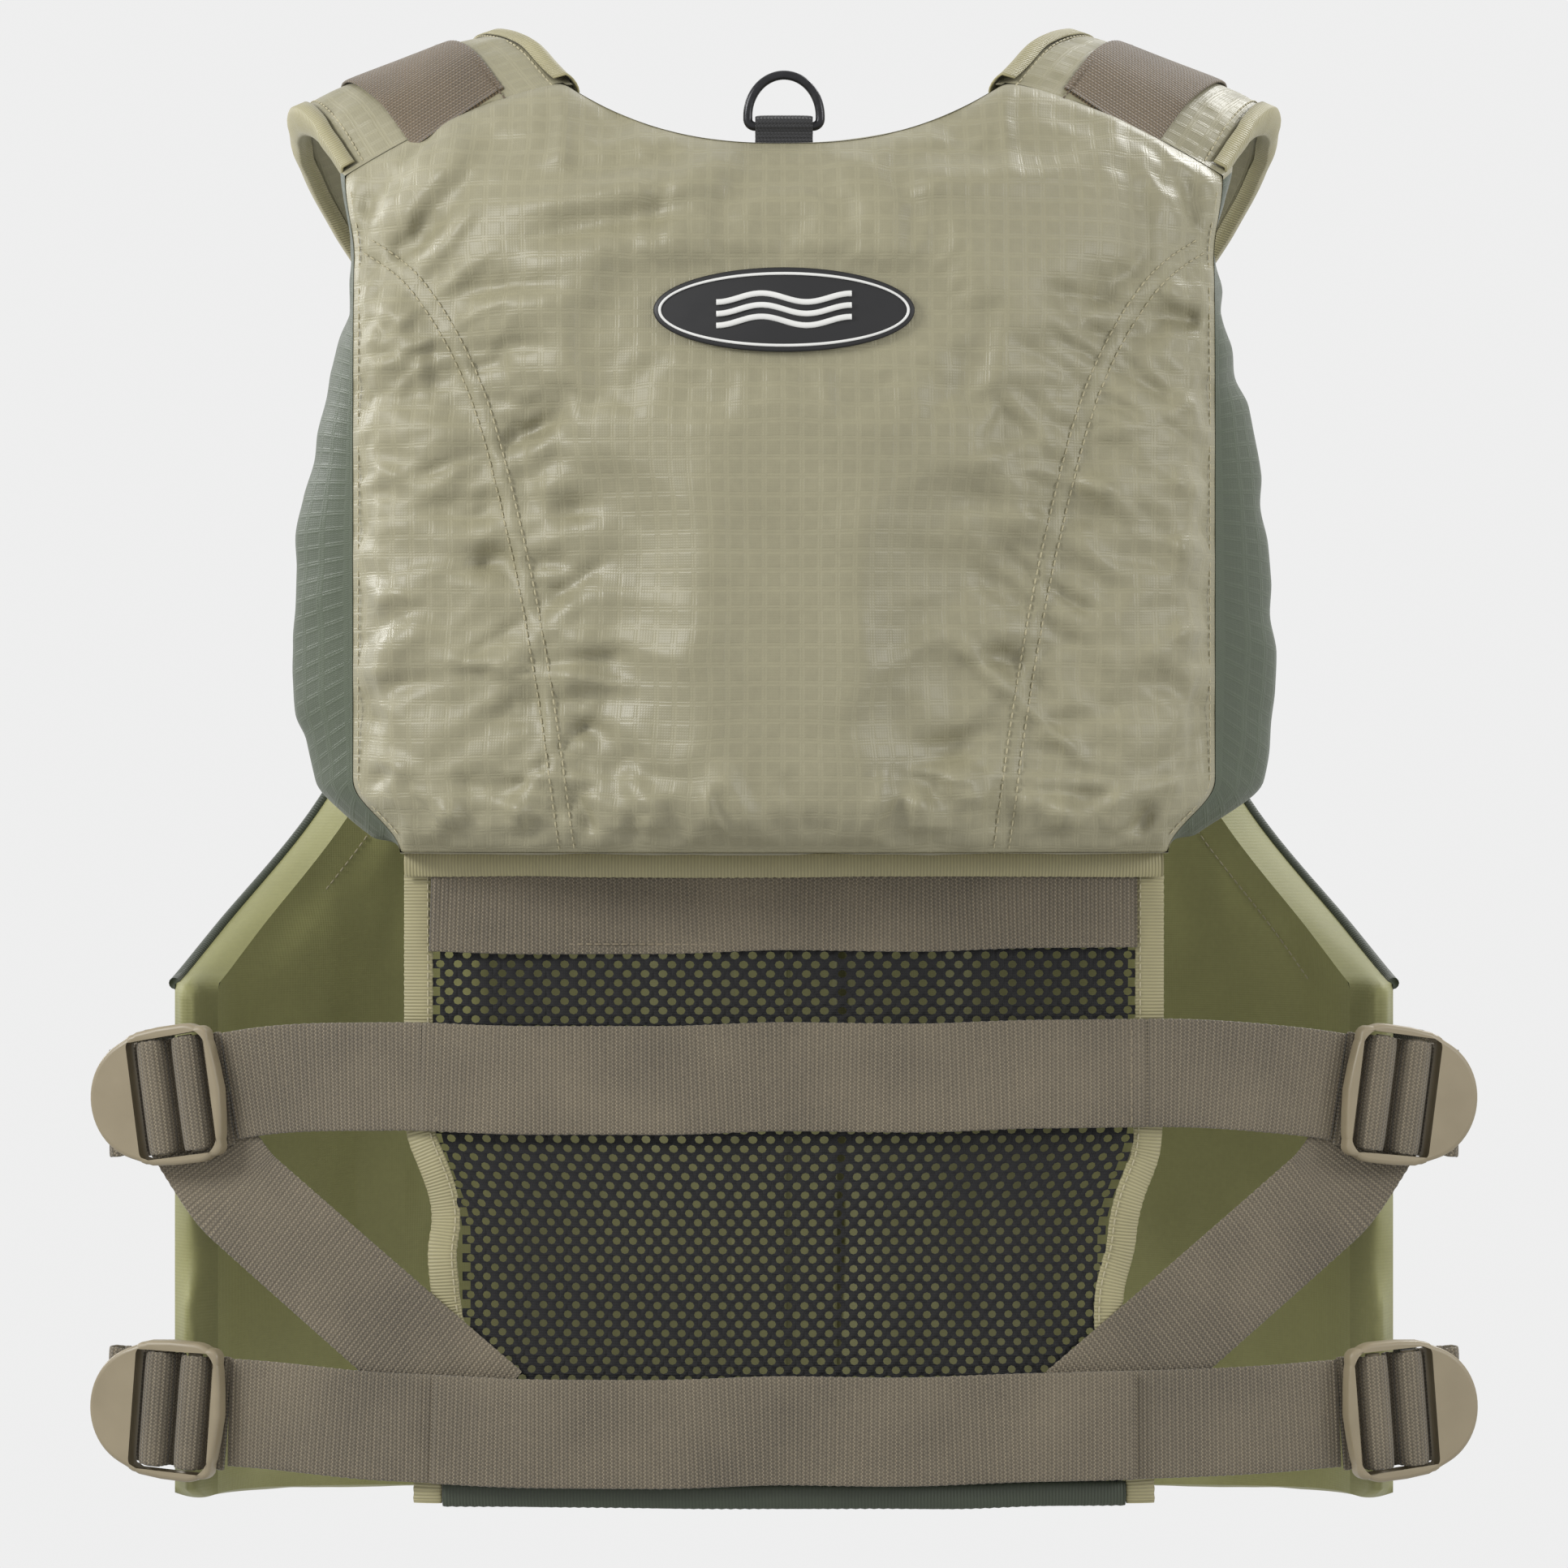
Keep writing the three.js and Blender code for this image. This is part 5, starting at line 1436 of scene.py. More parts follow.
def shoulder(side):
    word = SIDES[side]
    body = strap_blend(side)
    u, t = np.meshgrid(np.linspace(0, 1, 44), np.linspace(-PAD_TUCK, 1, 130))
    length = t * PAD_LENGTH
    edge = np.minimum(u, 1 - u)
    puff = 2.2 * smooth(0, 0.14, edge) * smooth(0.5, 0.3, np.abs(u - 0.5))
    band = smooth(0.30, 0.24, np.abs(u - 0.5))
    crease = 1.0 * noise(length, u * 30, 15, 71 + side) + 0.7 * noise(length, u * 60, 7, 73 + side)
    crease = crease * smooth(0.04, 0.12, edge) * (1 - band)
    round_edge = 4.0 * (1 - smooth(0, 0.09, edge))
    top = on_pad(u, t, 0.6 + round_edge - puff * 0.5 - crease)
    under = on_pad(u, t, PAD_THICKNESS - round_edge + 0.6 * smooth(0, 0.2, edge))
    rows, columns = u.shape
    ring = np.concatenate([top, under[:, ::-1]], 1)
    width = 80
    cloth_u = np.concatenate([u * width, (2 - u[:, ::-1]) * width], 1)
    cloth = np.stack([np.concatenate([length, length], 1), cloth_u], -1)
    faces = grid_faces(rows, 2 * columns, wrap=True)
    last = (rows - 1) * 2 * columns
    faces += [list(range(2 * columns)), list(range(last, last + 2 * columns))]
    pad = add_mesh(f"shoulder_pad_{word}", mirrored(ring, side), faces, cloth)
    done(pad, "khaki", body, [f"shoulder_pad_{word}"])
    ts = np.linspace(-PAD_TUCK, 1, 130)
    normal = pad_normal(ts)
    for name, where in (("neck", 0.0), ("arm", 1.0)):
        middle = on_pad(where, ts, PAD_THICKNESS / 2)
        outward = unit(on_pad(where, ts, 5) - on_pad(0.5, ts, 5))
        line = middle + outward * (0.2 + 0.3 * noise(ts * PAD_LENGTH, 0 * ts, 12, 75))[:, None]
        tape = edge_tape(f"shoulder_binding_{name}_{word}", line, outward, normal, 10.5, 5.0, side)
        done(tape, "binding", body)
        seam = on_pad(abs(where - 0.085), ts, 0.5)
        stitch(body, "thread", mirrored(seam, side), mirrored(normal, side))
    line = on_pad(0.5, ts, -0.4 - WEBBING / 2)
    webbing = ribbon(f"shoulder_webbing_{word}", mirrored(line, side), mirrored(normal, side))
    done(webbing, "brown", body, [f"shoulder_webbing_{word}"])
    spread = 0.5 * 33 / 80
    for offset in (-spread, spread):
        row = on_pad(0.5 + offset, ts, -2.0)
        stitch(body, "brown_thread", mirrored(row, side), mirrored(normal, side))
    shoulder_buckle(side)


def edge_tape(name, line, outward, up, depth, wrap, side=LEFT):
    """Binding folded over an edge: a U-shaped section, wrap wide on each face of the edge."""
    turn = np.radians(np.linspace(-90, 90, 9))
    section = [(-wrap, -1.0)] + [(math.cos(a) - 0.4, math.sin(a)) for a in turn] + [(-wrap, 1.0)]
    step = np.array(section)
    lateral = np.where(np.abs(step[:, 1]) > 0.99, step[:, 0], step[:, 0] * 2.0)
    points = (
        line[:, None]
        + outward[:, None] * lateral[None, :, None]
        + up[:, None] * (step[:, 1] * depth / 2)[None, :, None]
    )
    length = arc_length(line)[:, None]
    walk = np.linspace(0, 22, len(step))[None]
    cloth = np.stack(np.broadcast_arrays(length, walk), -1)
    return sheet(name, mirrored(points, side), cloth, 0.7)


def shoulder_buckle(side):
    depth = -0.4 - WEBBING / 2
    end = on_pad(0.5, 1.0, depth)
    run = end - on_pad(0.5, 0.97, depth)
    across = unit(centripetal_spline(ARM_EDGE, np.array(1.0)) - centripetal_spline(NECK_EDGE, np.array(1.0)))
    out = unit(np.cross(run, across))
    along = np.cross(across, out)
    start = end + along * 0.4
    buckle("shoulder", side, mirrored(start, side), mirrored(along, side), mirrored(out, side), "brown")


# ---------------------------------------------------------------- front panels


def inside(x, low, high):
    """1 well inside a range and 0 outside it, with a soft step at each end."""
    return smooth(low - 2, low + 4, x) * (1 - smooth(high - 4, high + 2, x))


def loose_cloth(x, z):
    """1 where a front cover is free to fold, and 0 where webbing or a pocket holds it flat."""
    angle = front_angle(x)
    at_side = smooth(math.radians(51), math.radians(55), angle)
    held = 0 * z
    for level in (MID_STRAP_Z - MID_STRAP_DROP, LOW_STRAP_Z + LOW_STRAP_RISE):
        held = np.maximum(held, at_side * (1 - smooth(19, 25, np.abs(z - level))))
    anchor = (1 - smooth(19, 25, np.abs(x - ANCHOR_X))) * smooth(FRONT_TOP - 60, FRONT_TOP - 54, z)
    on_pocket_face = inside(x, POCKET["x0"], POCKET["x1"]) * inside(z, POCKET["z0"], POCKET["z1"])
    return 1 - np.maximum(np.maximum(held, anchor), on_pocket_face)


def front_relief(x, z, side):
    """Soft waves and gathers of a front panel's cover."""
    heights = np.linspace(12, FRONT_TOP - 6, 120)
    arm = np.stack([arm_side(heights), heights], -1)
    neck = np.stack([zip_side(heights), heights], -1)
    strokes = gathers(arm, 13, math.pi / 2, 121 + side, 46) + gathers(neck, 15, -math.pi / 2, 131 + side, 38)
    waves = 1.8 * noise(x, z * 0.5, 32, 81 + side) + 0.7 * noise(x, z, 12, 82 + side)
    return (waves + strokes_relief(x, z, strokes)) * loose_cloth(x, z)


def panel_grid(columns, rows):
    return np.meshgrid(np.linspace(0, 1, columns), np.linspace(0, 1, rows))


def panel_edge(x, z):
    """Distance from the nearest edge of a front panel."""
    hem = FRONT_HEM_RISE * ((x - ZIP_EDGE) / FRONT_HALF_WIDTH) ** 3
    sides = np.minimum(x - zip_side(z), arm_side(z) - x)
    return np.maximum(np.minimum(sides, np.minimum(z - hem, FRONT_TOP - z)), 0)


def front_cover(side):
    word = SIDES[side]
    u, v = panel_grid(90, 150)
    x, z = front_outline(u, v)
    angle = front_angle(x)
    edge = panel_edge(x, z)
    turned_in = np.clip(1 - edge / FRONT_ROLL_WIDTH, 0, 1)
    round_edge = FRONT_ROLL * (1 - np.sqrt(1 - 0.98 * turned_in**2))
    lift = front_thickness(angle) - round_edge + front_relief(x, z, side) * smooth(2, 16, edge)
    points = on_front(angle, z, lift)
    outer = sheet(f"front_cover_{word}", mirrored(points, side), np.stack([x, z], -1))
    pins = np.maximum(np.exp(-((edge / 5) ** 2)), 1 - loose_cloth(x, z)).ravel()
    crumple(outer, np.maximum(np.where(pins > 0.35, 1, pins), 0.03), surplus=0.035, limit=3)
    done(outer, "sage", f"front_{word}", [f"front_cover_{word}", f"front_foam_{word}"])
    u, v = perimeter(560)
    x, z = front_outline(u, v)
    angle = front_angle(x)
    w = np.linspace(0, 1, 12)[:, None]
    middle = np.sin(np.pi * w)
    swell = 3.2 * middle + 0.9 * noise(np.linspace(0, 1100, 560), w * 20, 14, 85) * middle
    nx = np.where((v == 0) | (v == 1), 0, np.where(u > 0.5, 1, -1))
    nz = np.where(v == 1, 1, np.where(v == 0, -1, 0))
    lift = 0.6 + (front_thickness(angle) - FRONT_ROLL * (1 - math.sqrt(0.02)) - 0.6) * w
    swollen_x = np.clip(x + nx * swell * 0.35, 0, FRONT_HALF_WIDTH)
    points = on_front(front_angle(swollen_x), z + nz * swell * 0.5, lift)
    wall = add_mesh(
        f"front_gusset_{word}",
        mirrored(points, side),
        grid_faces(12, 560, wrap=True),
        np.stack(np.broadcast_arrays(np.linspace(0, 1100, 560)[None], w * 40), -1),
    )
    done(wall, "lining_edge", f"front_{word}")


def front_lining(side):
    """The smooth inside of a front panel, with soft upright folds."""
    word = SIDES[side]
    u, v = panel_grid(110, 130)
    x, z = front_outline(u, v)
    angle = front_angle(x)
    edge = panel_edge(x, z)
    fold = 6.5 * noise(x, z * 0.12, 19, 91 + side) + 1.5 * noise(x, z * 0.4, 9, 93 + side)
    puff = 3.4 * smooth(0, 25, edge)
    points = on_front(angle, z, 0.6 - (puff + np.maximum(fold, -3.4)) * smooth(0, 16, edge) * 0.8)
    obj = sheet(f"front_lining_{word}", mirrored(points, side), np.stack([x, z], -1))
    done(obj, "lining", f"front_{word}", [f"front_lining_{word}"])
    across, z = np.meshgrid(np.linspace(-0.8, 20, 12), np.linspace(4, ZIP_TOP - 4, 90))
    ripple = 0.4 * noise(across, z, 25, 96 + side)
    points = on_front(front_angle(across), z, -3.0 - 0.8 * side - ripple)
    flap = sheet(f"zip_flap_{word}", mirrored(points, side), np.stack([across, z], -1), 0.8)
    done(flap, "lining", f"front_{word}")


def front_stitch(side, key, line, normal):
    """A row of stitches on a front panel, from its shape on the left one."""
    stitch(f"front_{SIDES[side]}", key, mirrored(line, side), mirrored(normal, side))


def piping(side):
    """A bound cord in the seam round the armhole, the top and the neckline of a front panel."""
    word = SIDES[side]
    up = np.linspace((ARM_START - 4) / FRONT_TOP, 1, 110)
    across = np.linspace(1, 0, 24)[1:-1]
    down = np.linspace(1, ZIP_TOP / FRONT_TOP, 30)
    u = np.concatenate([0 * up + 1, across, 0 * down])
    v = np.concatenate([up, 0 * across + 1, down])
    x, z = front_outline(u, v)
    angle = front_angle(x)
    line = on_front(angle, z, front_thickness(angle) - 7.4)
    cord = tube(f"front_piping_{word}", mirrored(line, side), 2.2, up=(0, 0.3, 1))
    done(cord, "dark_binding", f"front_{word}")
    front_stitch(side, "thread", on_front(*inset_outline(u, v, 11), -0.5), front_out(angle))


def inset_outline(u, v, inset):
    x, z = front_outline(u, v, inset)
    return front_angle(x), z


def rounded_edge(x, z, width, height, radius):
    """Distance in from the nearest edge of a rectangle with rounded corners."""
    qx = np.abs(x - width / 2) - width / 2 + radius
    qz = np.abs(z - height / 2) - height / 2 + radius
    outside = np.hypot(np.maximum(qx, 0), np.maximum(qz, 0))
    return radius - outside - np.minimum(np.maximum(qx, qz), 0)


POCKET_WIDTH = 140  # measured along the curve
POCKET_HEIGHT = POCKET["z1"] - POCKET["z0"]
POCKET_YOKE = 136  # height of the seam across its face
POCKET_ZIP_AT = 27  # distance of its zip along the curve


def on_pocket(x, z, lift):
    """A point over a pocket, x along the curve and z up from its lower corner, with its normal."""
    a0, a1 = front_angle(POCKET["x0"]), front_angle(POCKET["x1"])
    angle = a0 + (a1 - a0) * x / POCKET_WIDTH
    return on_front(angle, POCKET["z0"] + z, front_thickness(angle) + lift), front_out(angle)


def pocket(side):
    """A bellows pocket: rounded corners, a piped edge, a seam across and an upright zip."""
    word = SIDES[side]
    x, z = np.meshgrid(np.linspace(0, POCKET_WIDTH, 110), np.linspace(0, POCKET_HEIGHT, 140))
    edge = rounded_edge(x, z, POCKET_WIDTH, POCKET_HEIGHT, 20)
    rise = POCKET["depth"] * (1 - np.clip(1 - edge / 14, 0, 1) ** 2.4) - 2.6 * (1 - smooth(-2, 1, edge))
    zip_gap = np.abs(x - POCKET_ZIP_AT)
    yoke_gap = np.where(x > POCKET_ZIP_AT + 9, np.abs(z - POCKET_YOKE), 99.0)
    yoke = np.array([(POCKET_ZIP_AT + 9, POCKET_YOKE), (POCKET_WIDTH - 10, POCKET_YOKE)], float)
    foot = np.array([(14, 10), (POCKET_WIDTH - 14, 10)], float)
    strokes = gathers(yoke, 11, -math.pi / 2, 141 + side, 34)
    strokes += gathers(yoke, 13, math.pi / 2, 144 + side, 22)
    strokes += gathers(foot, 12, math.pi / 2, 147 + side, 34)
    relief = 1.6 * noise(x, z * 0.7, 28, 95 + side) + strokes_relief(x, z, strokes)
    relief *= smooth(8, 20, edge) * smooth(6, 16, zip_gap)
    relief += 1.0 * np.exp(-(((zip_gap - 8) / 1.6) ** 2)) * smooth(14, 20, edge)
    piped = 1.2 * np.exp(-(((edge - 13) / 1.5) ** 2))
    seam = 1.1 * np.exp(-((yoke_gap / 1.6) ** 2)) * smooth(10, 16, edge)
    relief += piped - seam
    points, _ = on_pocket(x, z, rise - 0.2 + relief)
    obj = sheet(f"pocket_{word}", mirrored(points, side), np.stack([x, z], -1))
    pinned = np.exp(-((np.maximum(edge, 0) / 12) ** 4)) + np.exp(-((zip_gap / 10) ** 4))
    pinned += np.exp(-((yoke_gap / 3) ** 2))
    crumple(obj, np.clip(np.where(pinned > 0.35, 1, pinned), 0.03, 1).ravel(), surplus=0.035, limit=3)
    done(obj, "khaki", f"front_{word}", [f"pocket_{word}"])
    pocket_stitches(side)


def pocket_stitches(side):
    ring_u, ring_v = perimeter(300)
    x = 9.5 + ring_u * (POCKET_WIDTH - 19)
    z = 9.5 + ring_v * (POCKET_HEIGHT - 19)
    corner = rounded_edge(x, z, POCKET_WIDTH, POCKET_HEIGHT, 20) > 7
    for first, last in ((0, 75), (75, 150), (150, 225), (225, 300)):
        run = np.flatnonzero(corner[first:last]) + first
        front_stitch(side, "thread", *on_pocket(x[run], z[run], POCKET["depth"] - 0.7))
    for offset in (-3.0, 3.0):
        xs = np.linspace(POCKET_ZIP_AT + 10, POCKET_WIDTH - 14, 60)
        front_stitch(side, "thread", *on_pocket(xs, POCKET_YOKE + offset + 0 * xs, POCKET["depth"] - 0.1))


def box_stitch(side, key, corners, lift):
    """A sewn box with a cross on a front panel; corners hold angle and height."""
    a, b, c, d = corners
    for start, end in ((a, b), (b, c), (c, d), (d, a), (a, c), (b, d)):
        angle, z = np.linspace(start[0], end[0], 12), np.linspace(start[1], end[1], 12)
        line = on_front(angle, z, front_thickness(angle) + lift)
        front_stitch(side, key, line, front_out(angle))


def side_webbing(side, level, z):
    """Webbing sewn to a front panel, running round its side and in under the waist buckle."""
    word = SIDES[side]
    angle = np.radians(np.linspace(56, 86, 60))
    sewn = on_front(angle, np.full_like(angle, z), front_thickness(angle) + 1.7)
    start, along, out = waist_buckle_place(level, LEFT)
    origin, axes = buckle_frame(start, along, out)
    under = origin + axes @ (WINDOW_END + 9, 0, STRAP_DEPTH + 0.2)
    bend = [under + 5 * along - 7 * out, under + 5.5 * along - 3 * out, under + 3.5 * along - 0.4 * out]
    free = uniform_spline([sewn[-1], (2 * sewn[-1] + bend[0]) / 3, *bend, under], 40)
    line = np.vstack([sewn, free[1:]])
    run = tangents(line)
    normal = unit(np.stack([run[:, 1], -run[:, 0], 0 * run[:, 0]], -1))
    obj = ribbon(f"side_webbing_{level}_{word}", mirrored(line, side), mirrored(normal, side))
    body = ("back", f"front_{word}", to_frame(under, side), to_frame(sewn[-1], side))
    done(obj, "webbing", body, [f"side_webbing_{level}_{word}"])
    near, far = math.radians(57.5), math.radians(64.5)
    corners = [(near, z - 15.5), (far, z - 15.5), (far, z + 15.5), (near, z + 15.5)]
    box_stitch(side, "brown_thread", corners, 2.5)


def shoulder_anchor(side):
    """Webbing sewn to the top of a front panel, running up into the shoulder buckle."""
    word = SIDES[side]
    z = np.linspace(FRONT_TOP - 54, FRONT_TOP + 2, 30)
    angle = front_angle(np.interp(z, [FRONT_TOP - 54, FRONT_TOP], [ANCHOR_X, ANCHOR_X + 2]))
    line = on_front(angle, z, front_thickness(angle) + 1.6)
    obj = ribbon(f"shoulder_anchor_{word}", mirrored(line, side), mirrored(front_out(angle), side))
    done(obj, "brown", f"front_{word}", [f"shoulder_anchor_{word}"])
    low, high = FRONT_TOP - 51, FRONT_TOP - 22
    near, far = float(front_angle(ANCHOR_X - 15.5)), float(front_angle(ANCHOR_X + 15.5))
    box_stitch(side, "brown_thread", [(near, low), (far, low), (far, high), (near, high)], 2.5)


# ---------------------------------------------------------------- zips

PLATE = 1.1
PLATE_GAP = 0.4
HALF_TOOTH = 1.6
TEETH_MIDDLE = PLATE + 2 * PLATE_GAP + HALF_TOOTH
SLIDER_FRONT = TEETH_MIDDLE + HALF_TOOTH + PLATE_GAP + PLATE
POCKET_SLIDER_FRONT = HALF_TOOTH + PLATE_GAP + PLATE
PULL_LIFT = 1.3
TOOTH_PITCH = 2.6
SLIDER_DROP = 7

POCKET_TEETH = (49.5, 189, 1.9)
POCKET_TAPE = (48, 190)
POCKET_TAPE_X = 4.6
POCKET_SLIDER_Z = 182.6


def block(width, depth, height, chamfer):
    """A block with chamfered sides, centred on the origin: points and faces."""
    x, z = width / 2, height / 2
    ring = [(x, z - chamfer), (x - chamfer, z), (chamfer - x, z), (-x, z - chamfer)]
    ring += [(-x, chamfer - z), (chamfer - x, -z), (x - chamfer, -z), (x, chamfer - z)]
    levels = [(-depth / 2, 0.8), (-depth / 2 + 0.3, 1.0), (depth / 2, 1.0)]
    points = np.array([(a * s, y, b * s) for y, s in levels for a, b in ring])
    return points, grid_faces(3, 8, wrap=True) + [list(range(8)), list(range(16, 24))]


def repeated(name, base, faces, centres):
    points = centres[:, None] + base[None]
    count = len(base)
    everything = [[i + n * count for i in f] for n in range(len(centres)) for f in faces]
    return add_mesh(name, points, everything)


def front_y():
    return float(on_front(0.0, 0.0, FRONT_THICKNESS)[1])


def main_zip(side):
    word = SIDES[side]
    top = ZIP_TOP - 15.2
    z = np.arange(ZIP_BOTTOM + 1.5 + (0.5 if side == RIGHT else 0) * TOOTH_PITCH, top, TOOTH_PITCH)
    base, faces = block(2.9, 3.0, 1.9, 0.4)
    centres = np.stack([side * 1.8 + 0 * z, front_y() - TEETH_MIDDLE + 0 * z, z], -1)
    teeth = repeated(f"zip_teeth_{word}", base, faces, centres)
    teeth.data.materials.append(M["teeth"])
    zs = np.linspace(ZIP_BOTTOM, top, 150)
    slope = np.tile([side * 0.24, -0.97, 0], (len(zs), 1))
    line = np.stack([side * 9.2 + 0 * zs, front_y() - 1.9 + 0.3 * noise(zs, 0 * zs, 40, 99), zs], -1)
    tape = ribbon(f"zip_tape_{word}", line, slope, width=13, thickness=0.8, scallop=0)
    tape.data.materials.append(M["zip_tape"])
    done(merged(f"main_zip_{word}", [teeth, tape]), None, f"front_{word}", [f"zip_half_{word}"])
    seam = line + [side * 3.5, 0.5, 0]
    stitch(f"front_{word}", "thread", seam, slope)


def turned(turn):
    """Axes turned about the vertical, as the rows of a matrix."""
    cos, sin = math.cos(turn), math.sin(turn)
    return np.array([[cos, -sin, 0], [sin, cos, 0], [0, 0, 1]])


def slider_plate(width, height):
    """A slider's plate: broad shoulders at the top, narrower at the bottom."""
    upper = arc(width / 2 - 2.5, height / 2 - 2.5, 2.5, 2.5, 0, 90, 6)
    right = [(width / 2 - 1.3, -height / 2), (width / 2 - 0.6, -height / 4), *upper]
    left = [(-x, z) for x, z in reversed(right)]
    return np.array(right + left)


def slider(name, body, nodes, origin, turn, face, plates):
    """A zip slider with its bridge; face is how far its front plate's outside is from the origin."""
    axes = turned(turn)
    parts = []
    for middle in plates:
        points, faces = rounded_plate("plate", [slider_plate(10.2, 13.2)], PLATE, 0.35)
        local = np.stack([points[:, 0], -middle + points[:, 2], points[:, 1]], -1)
        parts.append(add_mesh("plate", place_local(local, origin, axes), faces))
    hoop = [(-4.2, face - 0.3), (-3.9, face + 1.8), (-2.6, face + 3.0), (0, face + 3.3)]
    hoop += [(-z, y) for z, y in reversed(hoop[:-1])]
    hoop = uniform_spline(hoop, 40)
    line = np.stack([0 * hoop[:, 0], -hoop[:, 1], hoop[:, 0]], -1)
    parts.append(tube("bridge", place_local(line, origin, axes), 0.62, flatten=2.0, up=(1, 0, 0), sides=10))
    if len(plates) > 1:
        post = np.array([(0, -plates[0], 4.5), (0, -plates[1], 4.5)])
        parts.append(tube("post", place_local(post, origin, axes), 0.28, up=(1, 0, 0), sides=8))
    obj = merged(name, parts)
    smooth_by_angle(obj, 40)
    done(obj, "zip_metal", body, nodes)


def pull_tab(name, body, nodes, origin, turn):
    """A zip pull hanging from its bar, with a ribbed grip."""
    axes = turned(turn)
    outer = arc(0, -22.6, 3.1, 2.9, 180, 360, 14) + [(3.1, -12), (2.8, -9), (3.1, -5)]
    outer += arc(1.6, -0.7, 1.5, 1.4, 0, 90, 5) + arc(-1.6, -0.7, 1.5, 1.4, 90, 180, 5)
    outer += [(-3.1, -5), (-2.8, -9), (-3.1, -12)]
    inner = arc(0, -5.0, 1.9, 1.4, 180, 360, 10) + arc(0, -1.5, 1.9, 0.8, 0, 180, 8)
    points, faces = rounded_plate("pull", [np.array(outer), np.array(inner)], 1.4, 0.35)
    local = np.stack([points[:, 0], points[:, 2], points[:, 1]], -1)
    parts = [add_mesh("pull", place_local(local, origin, axes), faces)]
    for z in np.arange(-12.5, -22.5, -2.2):
        rib = np.array([(-2.2, -0.6, z), (2.2, -0.6, z)])
        parts.append(tube("rib", place_local(rib, origin, axes), 0.45, sides=8, up=(0, 0, 1)))
    obj = merged(name, parts)
    smooth_by_angle(obj, 40)
    done(obj, "zip_metal", body, nodes)


def main_slider():
    plates = (PLATE_GAP + PLATE / 2, SLIDER_FRONT - PLATE / 2)
    origin = np.array([0, front_y(), ZIP_TOP - SLIDER_DROP])
    slider("main_zip_slider", "zip_slider", ["zip_slider"], origin, 0, SLIDER_FRONT, plates)
    pull_tab("main_zip_pull", "zip_pull", ["zip_pull"], origin - [0, SLIDER_FRONT + PULL_LIFT, 0], 0)


def pocket_zip(side):
    word = SIDES[side]
    angle = float(front_angle(POCKET_ZIP_X))
    thickness = float(front_thickness(angle))
    base = on_front(angle, 0.0, thickness + POCKET["depth"] + 0.4)
    turn = math.atan2(FRONT_DEPTH * math.sin(angle), FRONT_HALF_WIDTH * math.cos(angle))
    out = np.array([math.sin(turn), -math.cos(turn), 0])
    sideways = np.array([math.cos(turn), math.sin(turn), 0])
    z = np.arange(*POCKET_TEETH)
    tooth, faces = block(5.2, 1.0, 1.3, 0.3)
    centres = base + out * 1.0 + np.stack([0 * z, 0 * z, z], -1)
    tooth = mirrored(tooth @ turned(turn).T, side)
    teeth = repeated(f"pocket_teeth_{word}", tooth, faces, mirrored(centres, side))
    teeth.data.materials.append(M["teeth"])
    zs = np.linspace(*POCKET_TAPE, 60)
    normal = np.tile(out, (60, 1))
    parts = [teeth]
    for shift in (-POCKET_TAPE_X, POCKET_TAPE_X):
        line = base + sideways * shift + np.stack([0 * zs, 0 * zs, zs], -1) + out * 0.5
        shape = mirrored(line, side), mirrored(normal, side)
        tape = ribbon(f"pocket_tape_{word}", *shape, width=5.0, thickness=0.9, scallop=0)
        tape.data.materials.append(M["zip_tape"])
        parts.append(tape)
        front_stitch(side, "thread", line + sideways * shift * 0.75 - out * 0.6, normal)
    done(merged(f"pocket_zip_{word}", parts), None, f"front_{word}", [f"pocket_zip_{word}"])
    place = base + [0, 0, POCKET_SLIDER_Z]
    face = POCKET_SLIDER_FRONT
    name = f"pocket_slider_{word}"
    slider(name, name, [name], mirrored(place, side), turn * side, face, (face - PLATE / 2,))
    name = f"pocket_pull_{word}"
    pull_tab(name, name, [name], mirrored(place + out * (face + PULL_LIFT), side), turn * side)


# ---------------------------------------------------------------- building


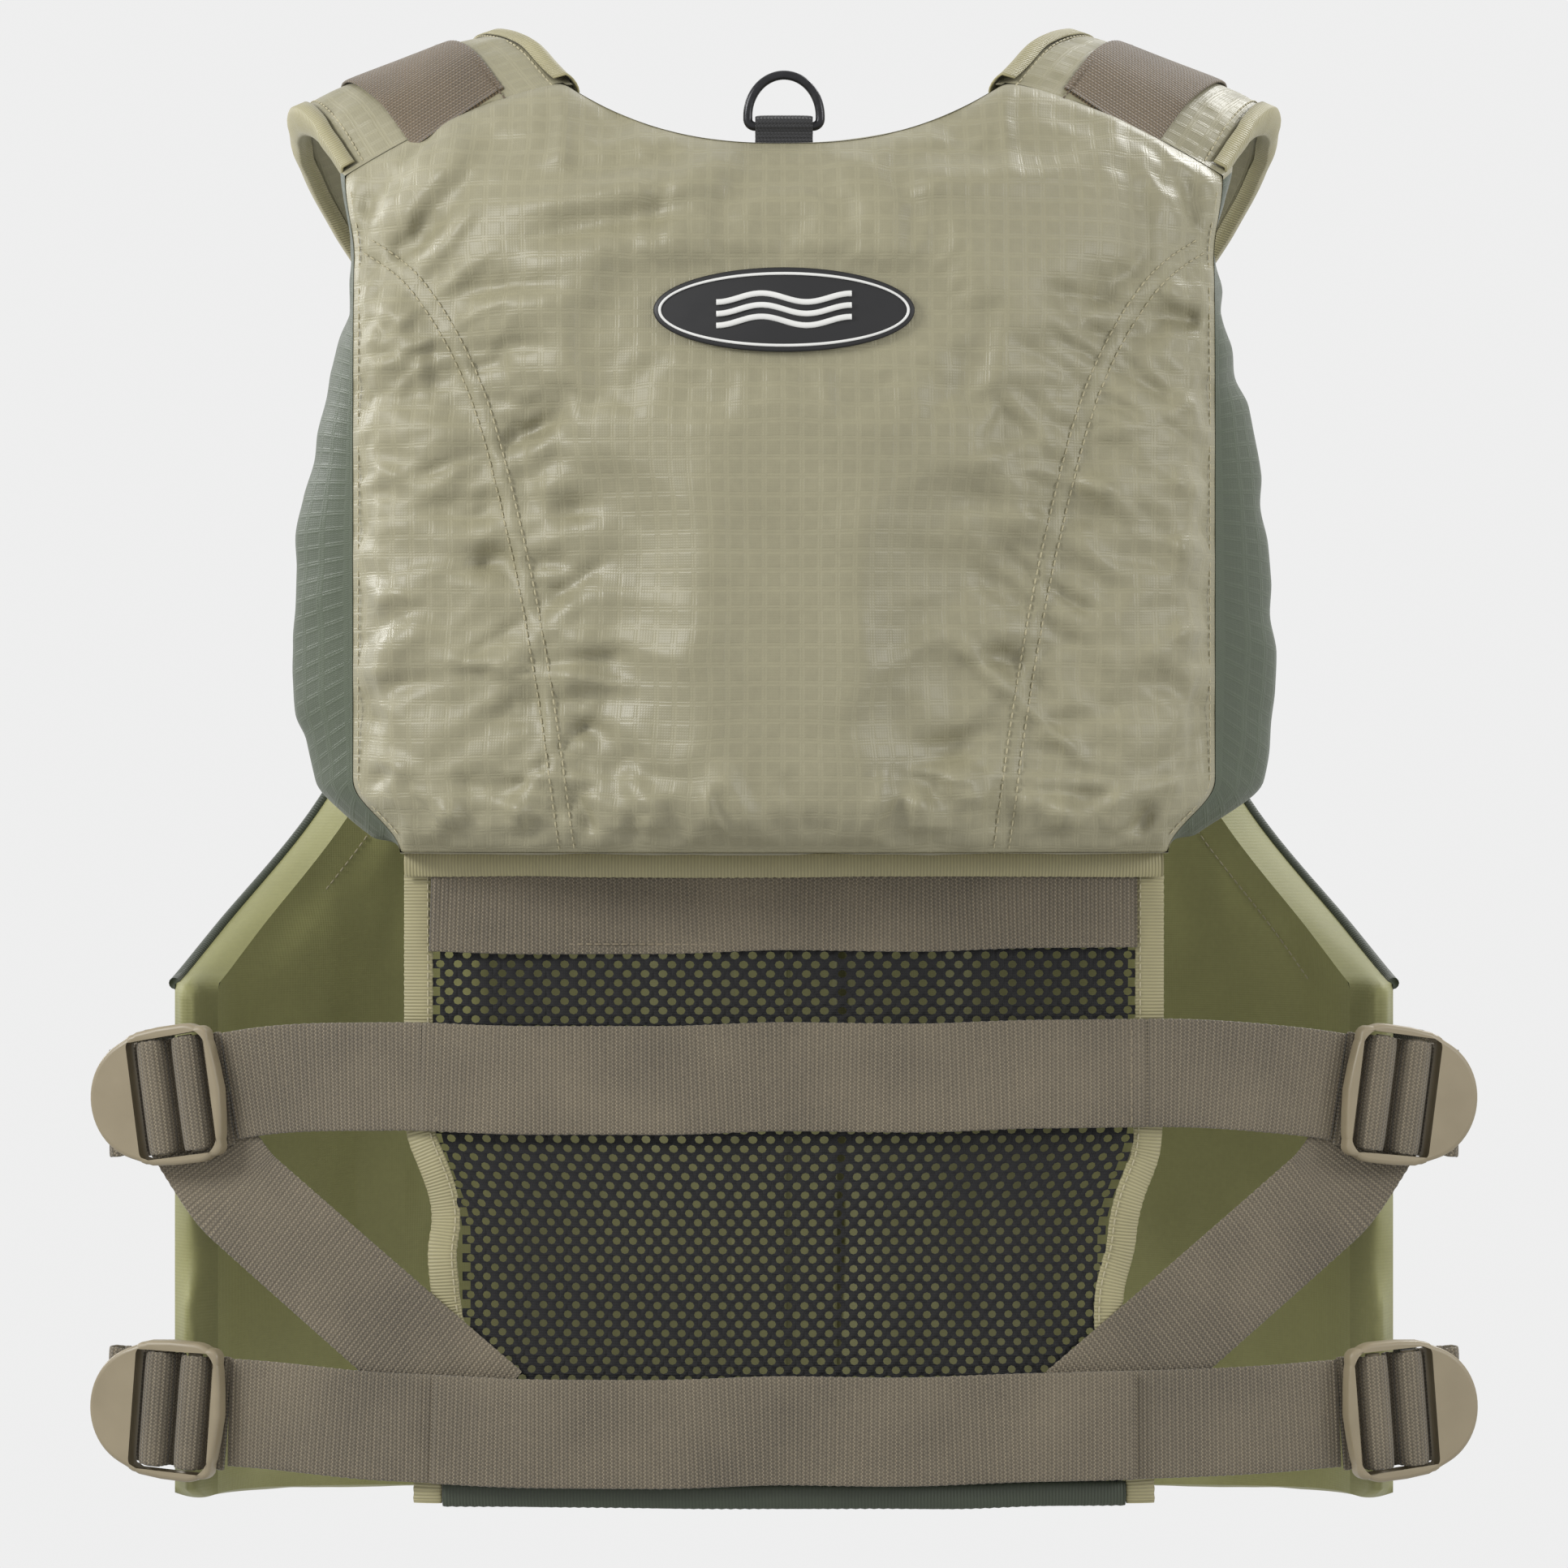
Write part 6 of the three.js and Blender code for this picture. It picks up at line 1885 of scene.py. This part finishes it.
def build():
    back_cover()
    back_liner()
    badge()
    collar_ring()
    collar_tab()
    mesh_panel()
    straps()
    bindings()
    back_buckles()
    for side in SIDES:
        shoulder(side)
        front_cover(side)
        front_lining(side)
        pocket(side)
        piping(side)
        side_webbing(side, "mid", MID_STRAP_Z - MID_STRAP_DROP)
        side_webbing(side, "lower", LOW_STRAP_Z + LOW_STRAP_RISE)
        shoulder_anchor(side)
        main_zip(side)
        pocket_zip(side)
    main_slider()
    make_threads()


# ---------------------------------------------------------------- stage

VIEW_DISTANCE = 2.2
VIEW_WIDTH = 0.544
VIEW_HEIGHT = 261.7
FLOOR_Z = -0.76


def camera():
    data = bpy.data.cameras.new("camera")
    data.sensor_width = 36
    data.lens = 36 * VIEW_DISTANCE / VIEW_WIDTH
    obj = bpy.data.objects.new("camera", data)
    SCENE.collection.objects.link(obj)
    obj.location = (0, BACK_Y * MM + VIEW_DISTANCE, (VIEW_HEIGHT - SHOULDER_REST) * MM)
    obj.rotation_euler = (math.pi / 2, 0, math.pi)
    SCENE.camera = obj


def area_light(name, place, size, power, target=(0, 0, -0.22)):
    data = bpy.data.lights.new(name, "AREA")
    data.shape = "DISK"
    data.size = size
    data.energy = power
    obj = bpy.data.objects.new(name, data)
    SCENE.collection.objects.link(obj)
    obj.location = place
    obj.rotation_euler = (Vector(target) - Vector(place)).to_track_quat("-Z", "Y").to_euler()


def studio():
    world = bpy.data.worlds.new("studio")
    SCENE.world = world
    world.use_nodes = True
    background = world.node_tree.nodes["Background"]
    background.inputs["Color"].default_value = (1, 1, 1, 1)
    background.inputs["Strength"].default_value = 0.86
    area_light("key", (1.35, 0.9, 0.55), 0.6, 20)
    area_light("fill", (-1.6, 0.9, 0.3), 0.6, 11)
    area_light("front_key", (-1.1, -1.1, 1.2), 0.7, 19)
    area_light("front_fill", (1.6, -0.9, 0.5), 0.6, 11)
    SCENE.view_settings.view_transform = "Standard"
    turn = np.linspace(0, 2 * np.pi, 65)[:-1]
    ring = np.stack([1.3 * np.cos(turn), 1.3 * np.sin(turn), 0 * turn], -1) / MM
    floor = add_mesh("floor", ring + [0, 0, SHOULDER_REST + FLOOR_Z / MM], [list(range(64))])
    s = Shader("pale floor", FLOOR_GREY, 0.8)
    floor.data.materials.append(s.finish(s.shade(s.noise(200, 1), 0.98, 1.02)))


build()
camera()
studio()
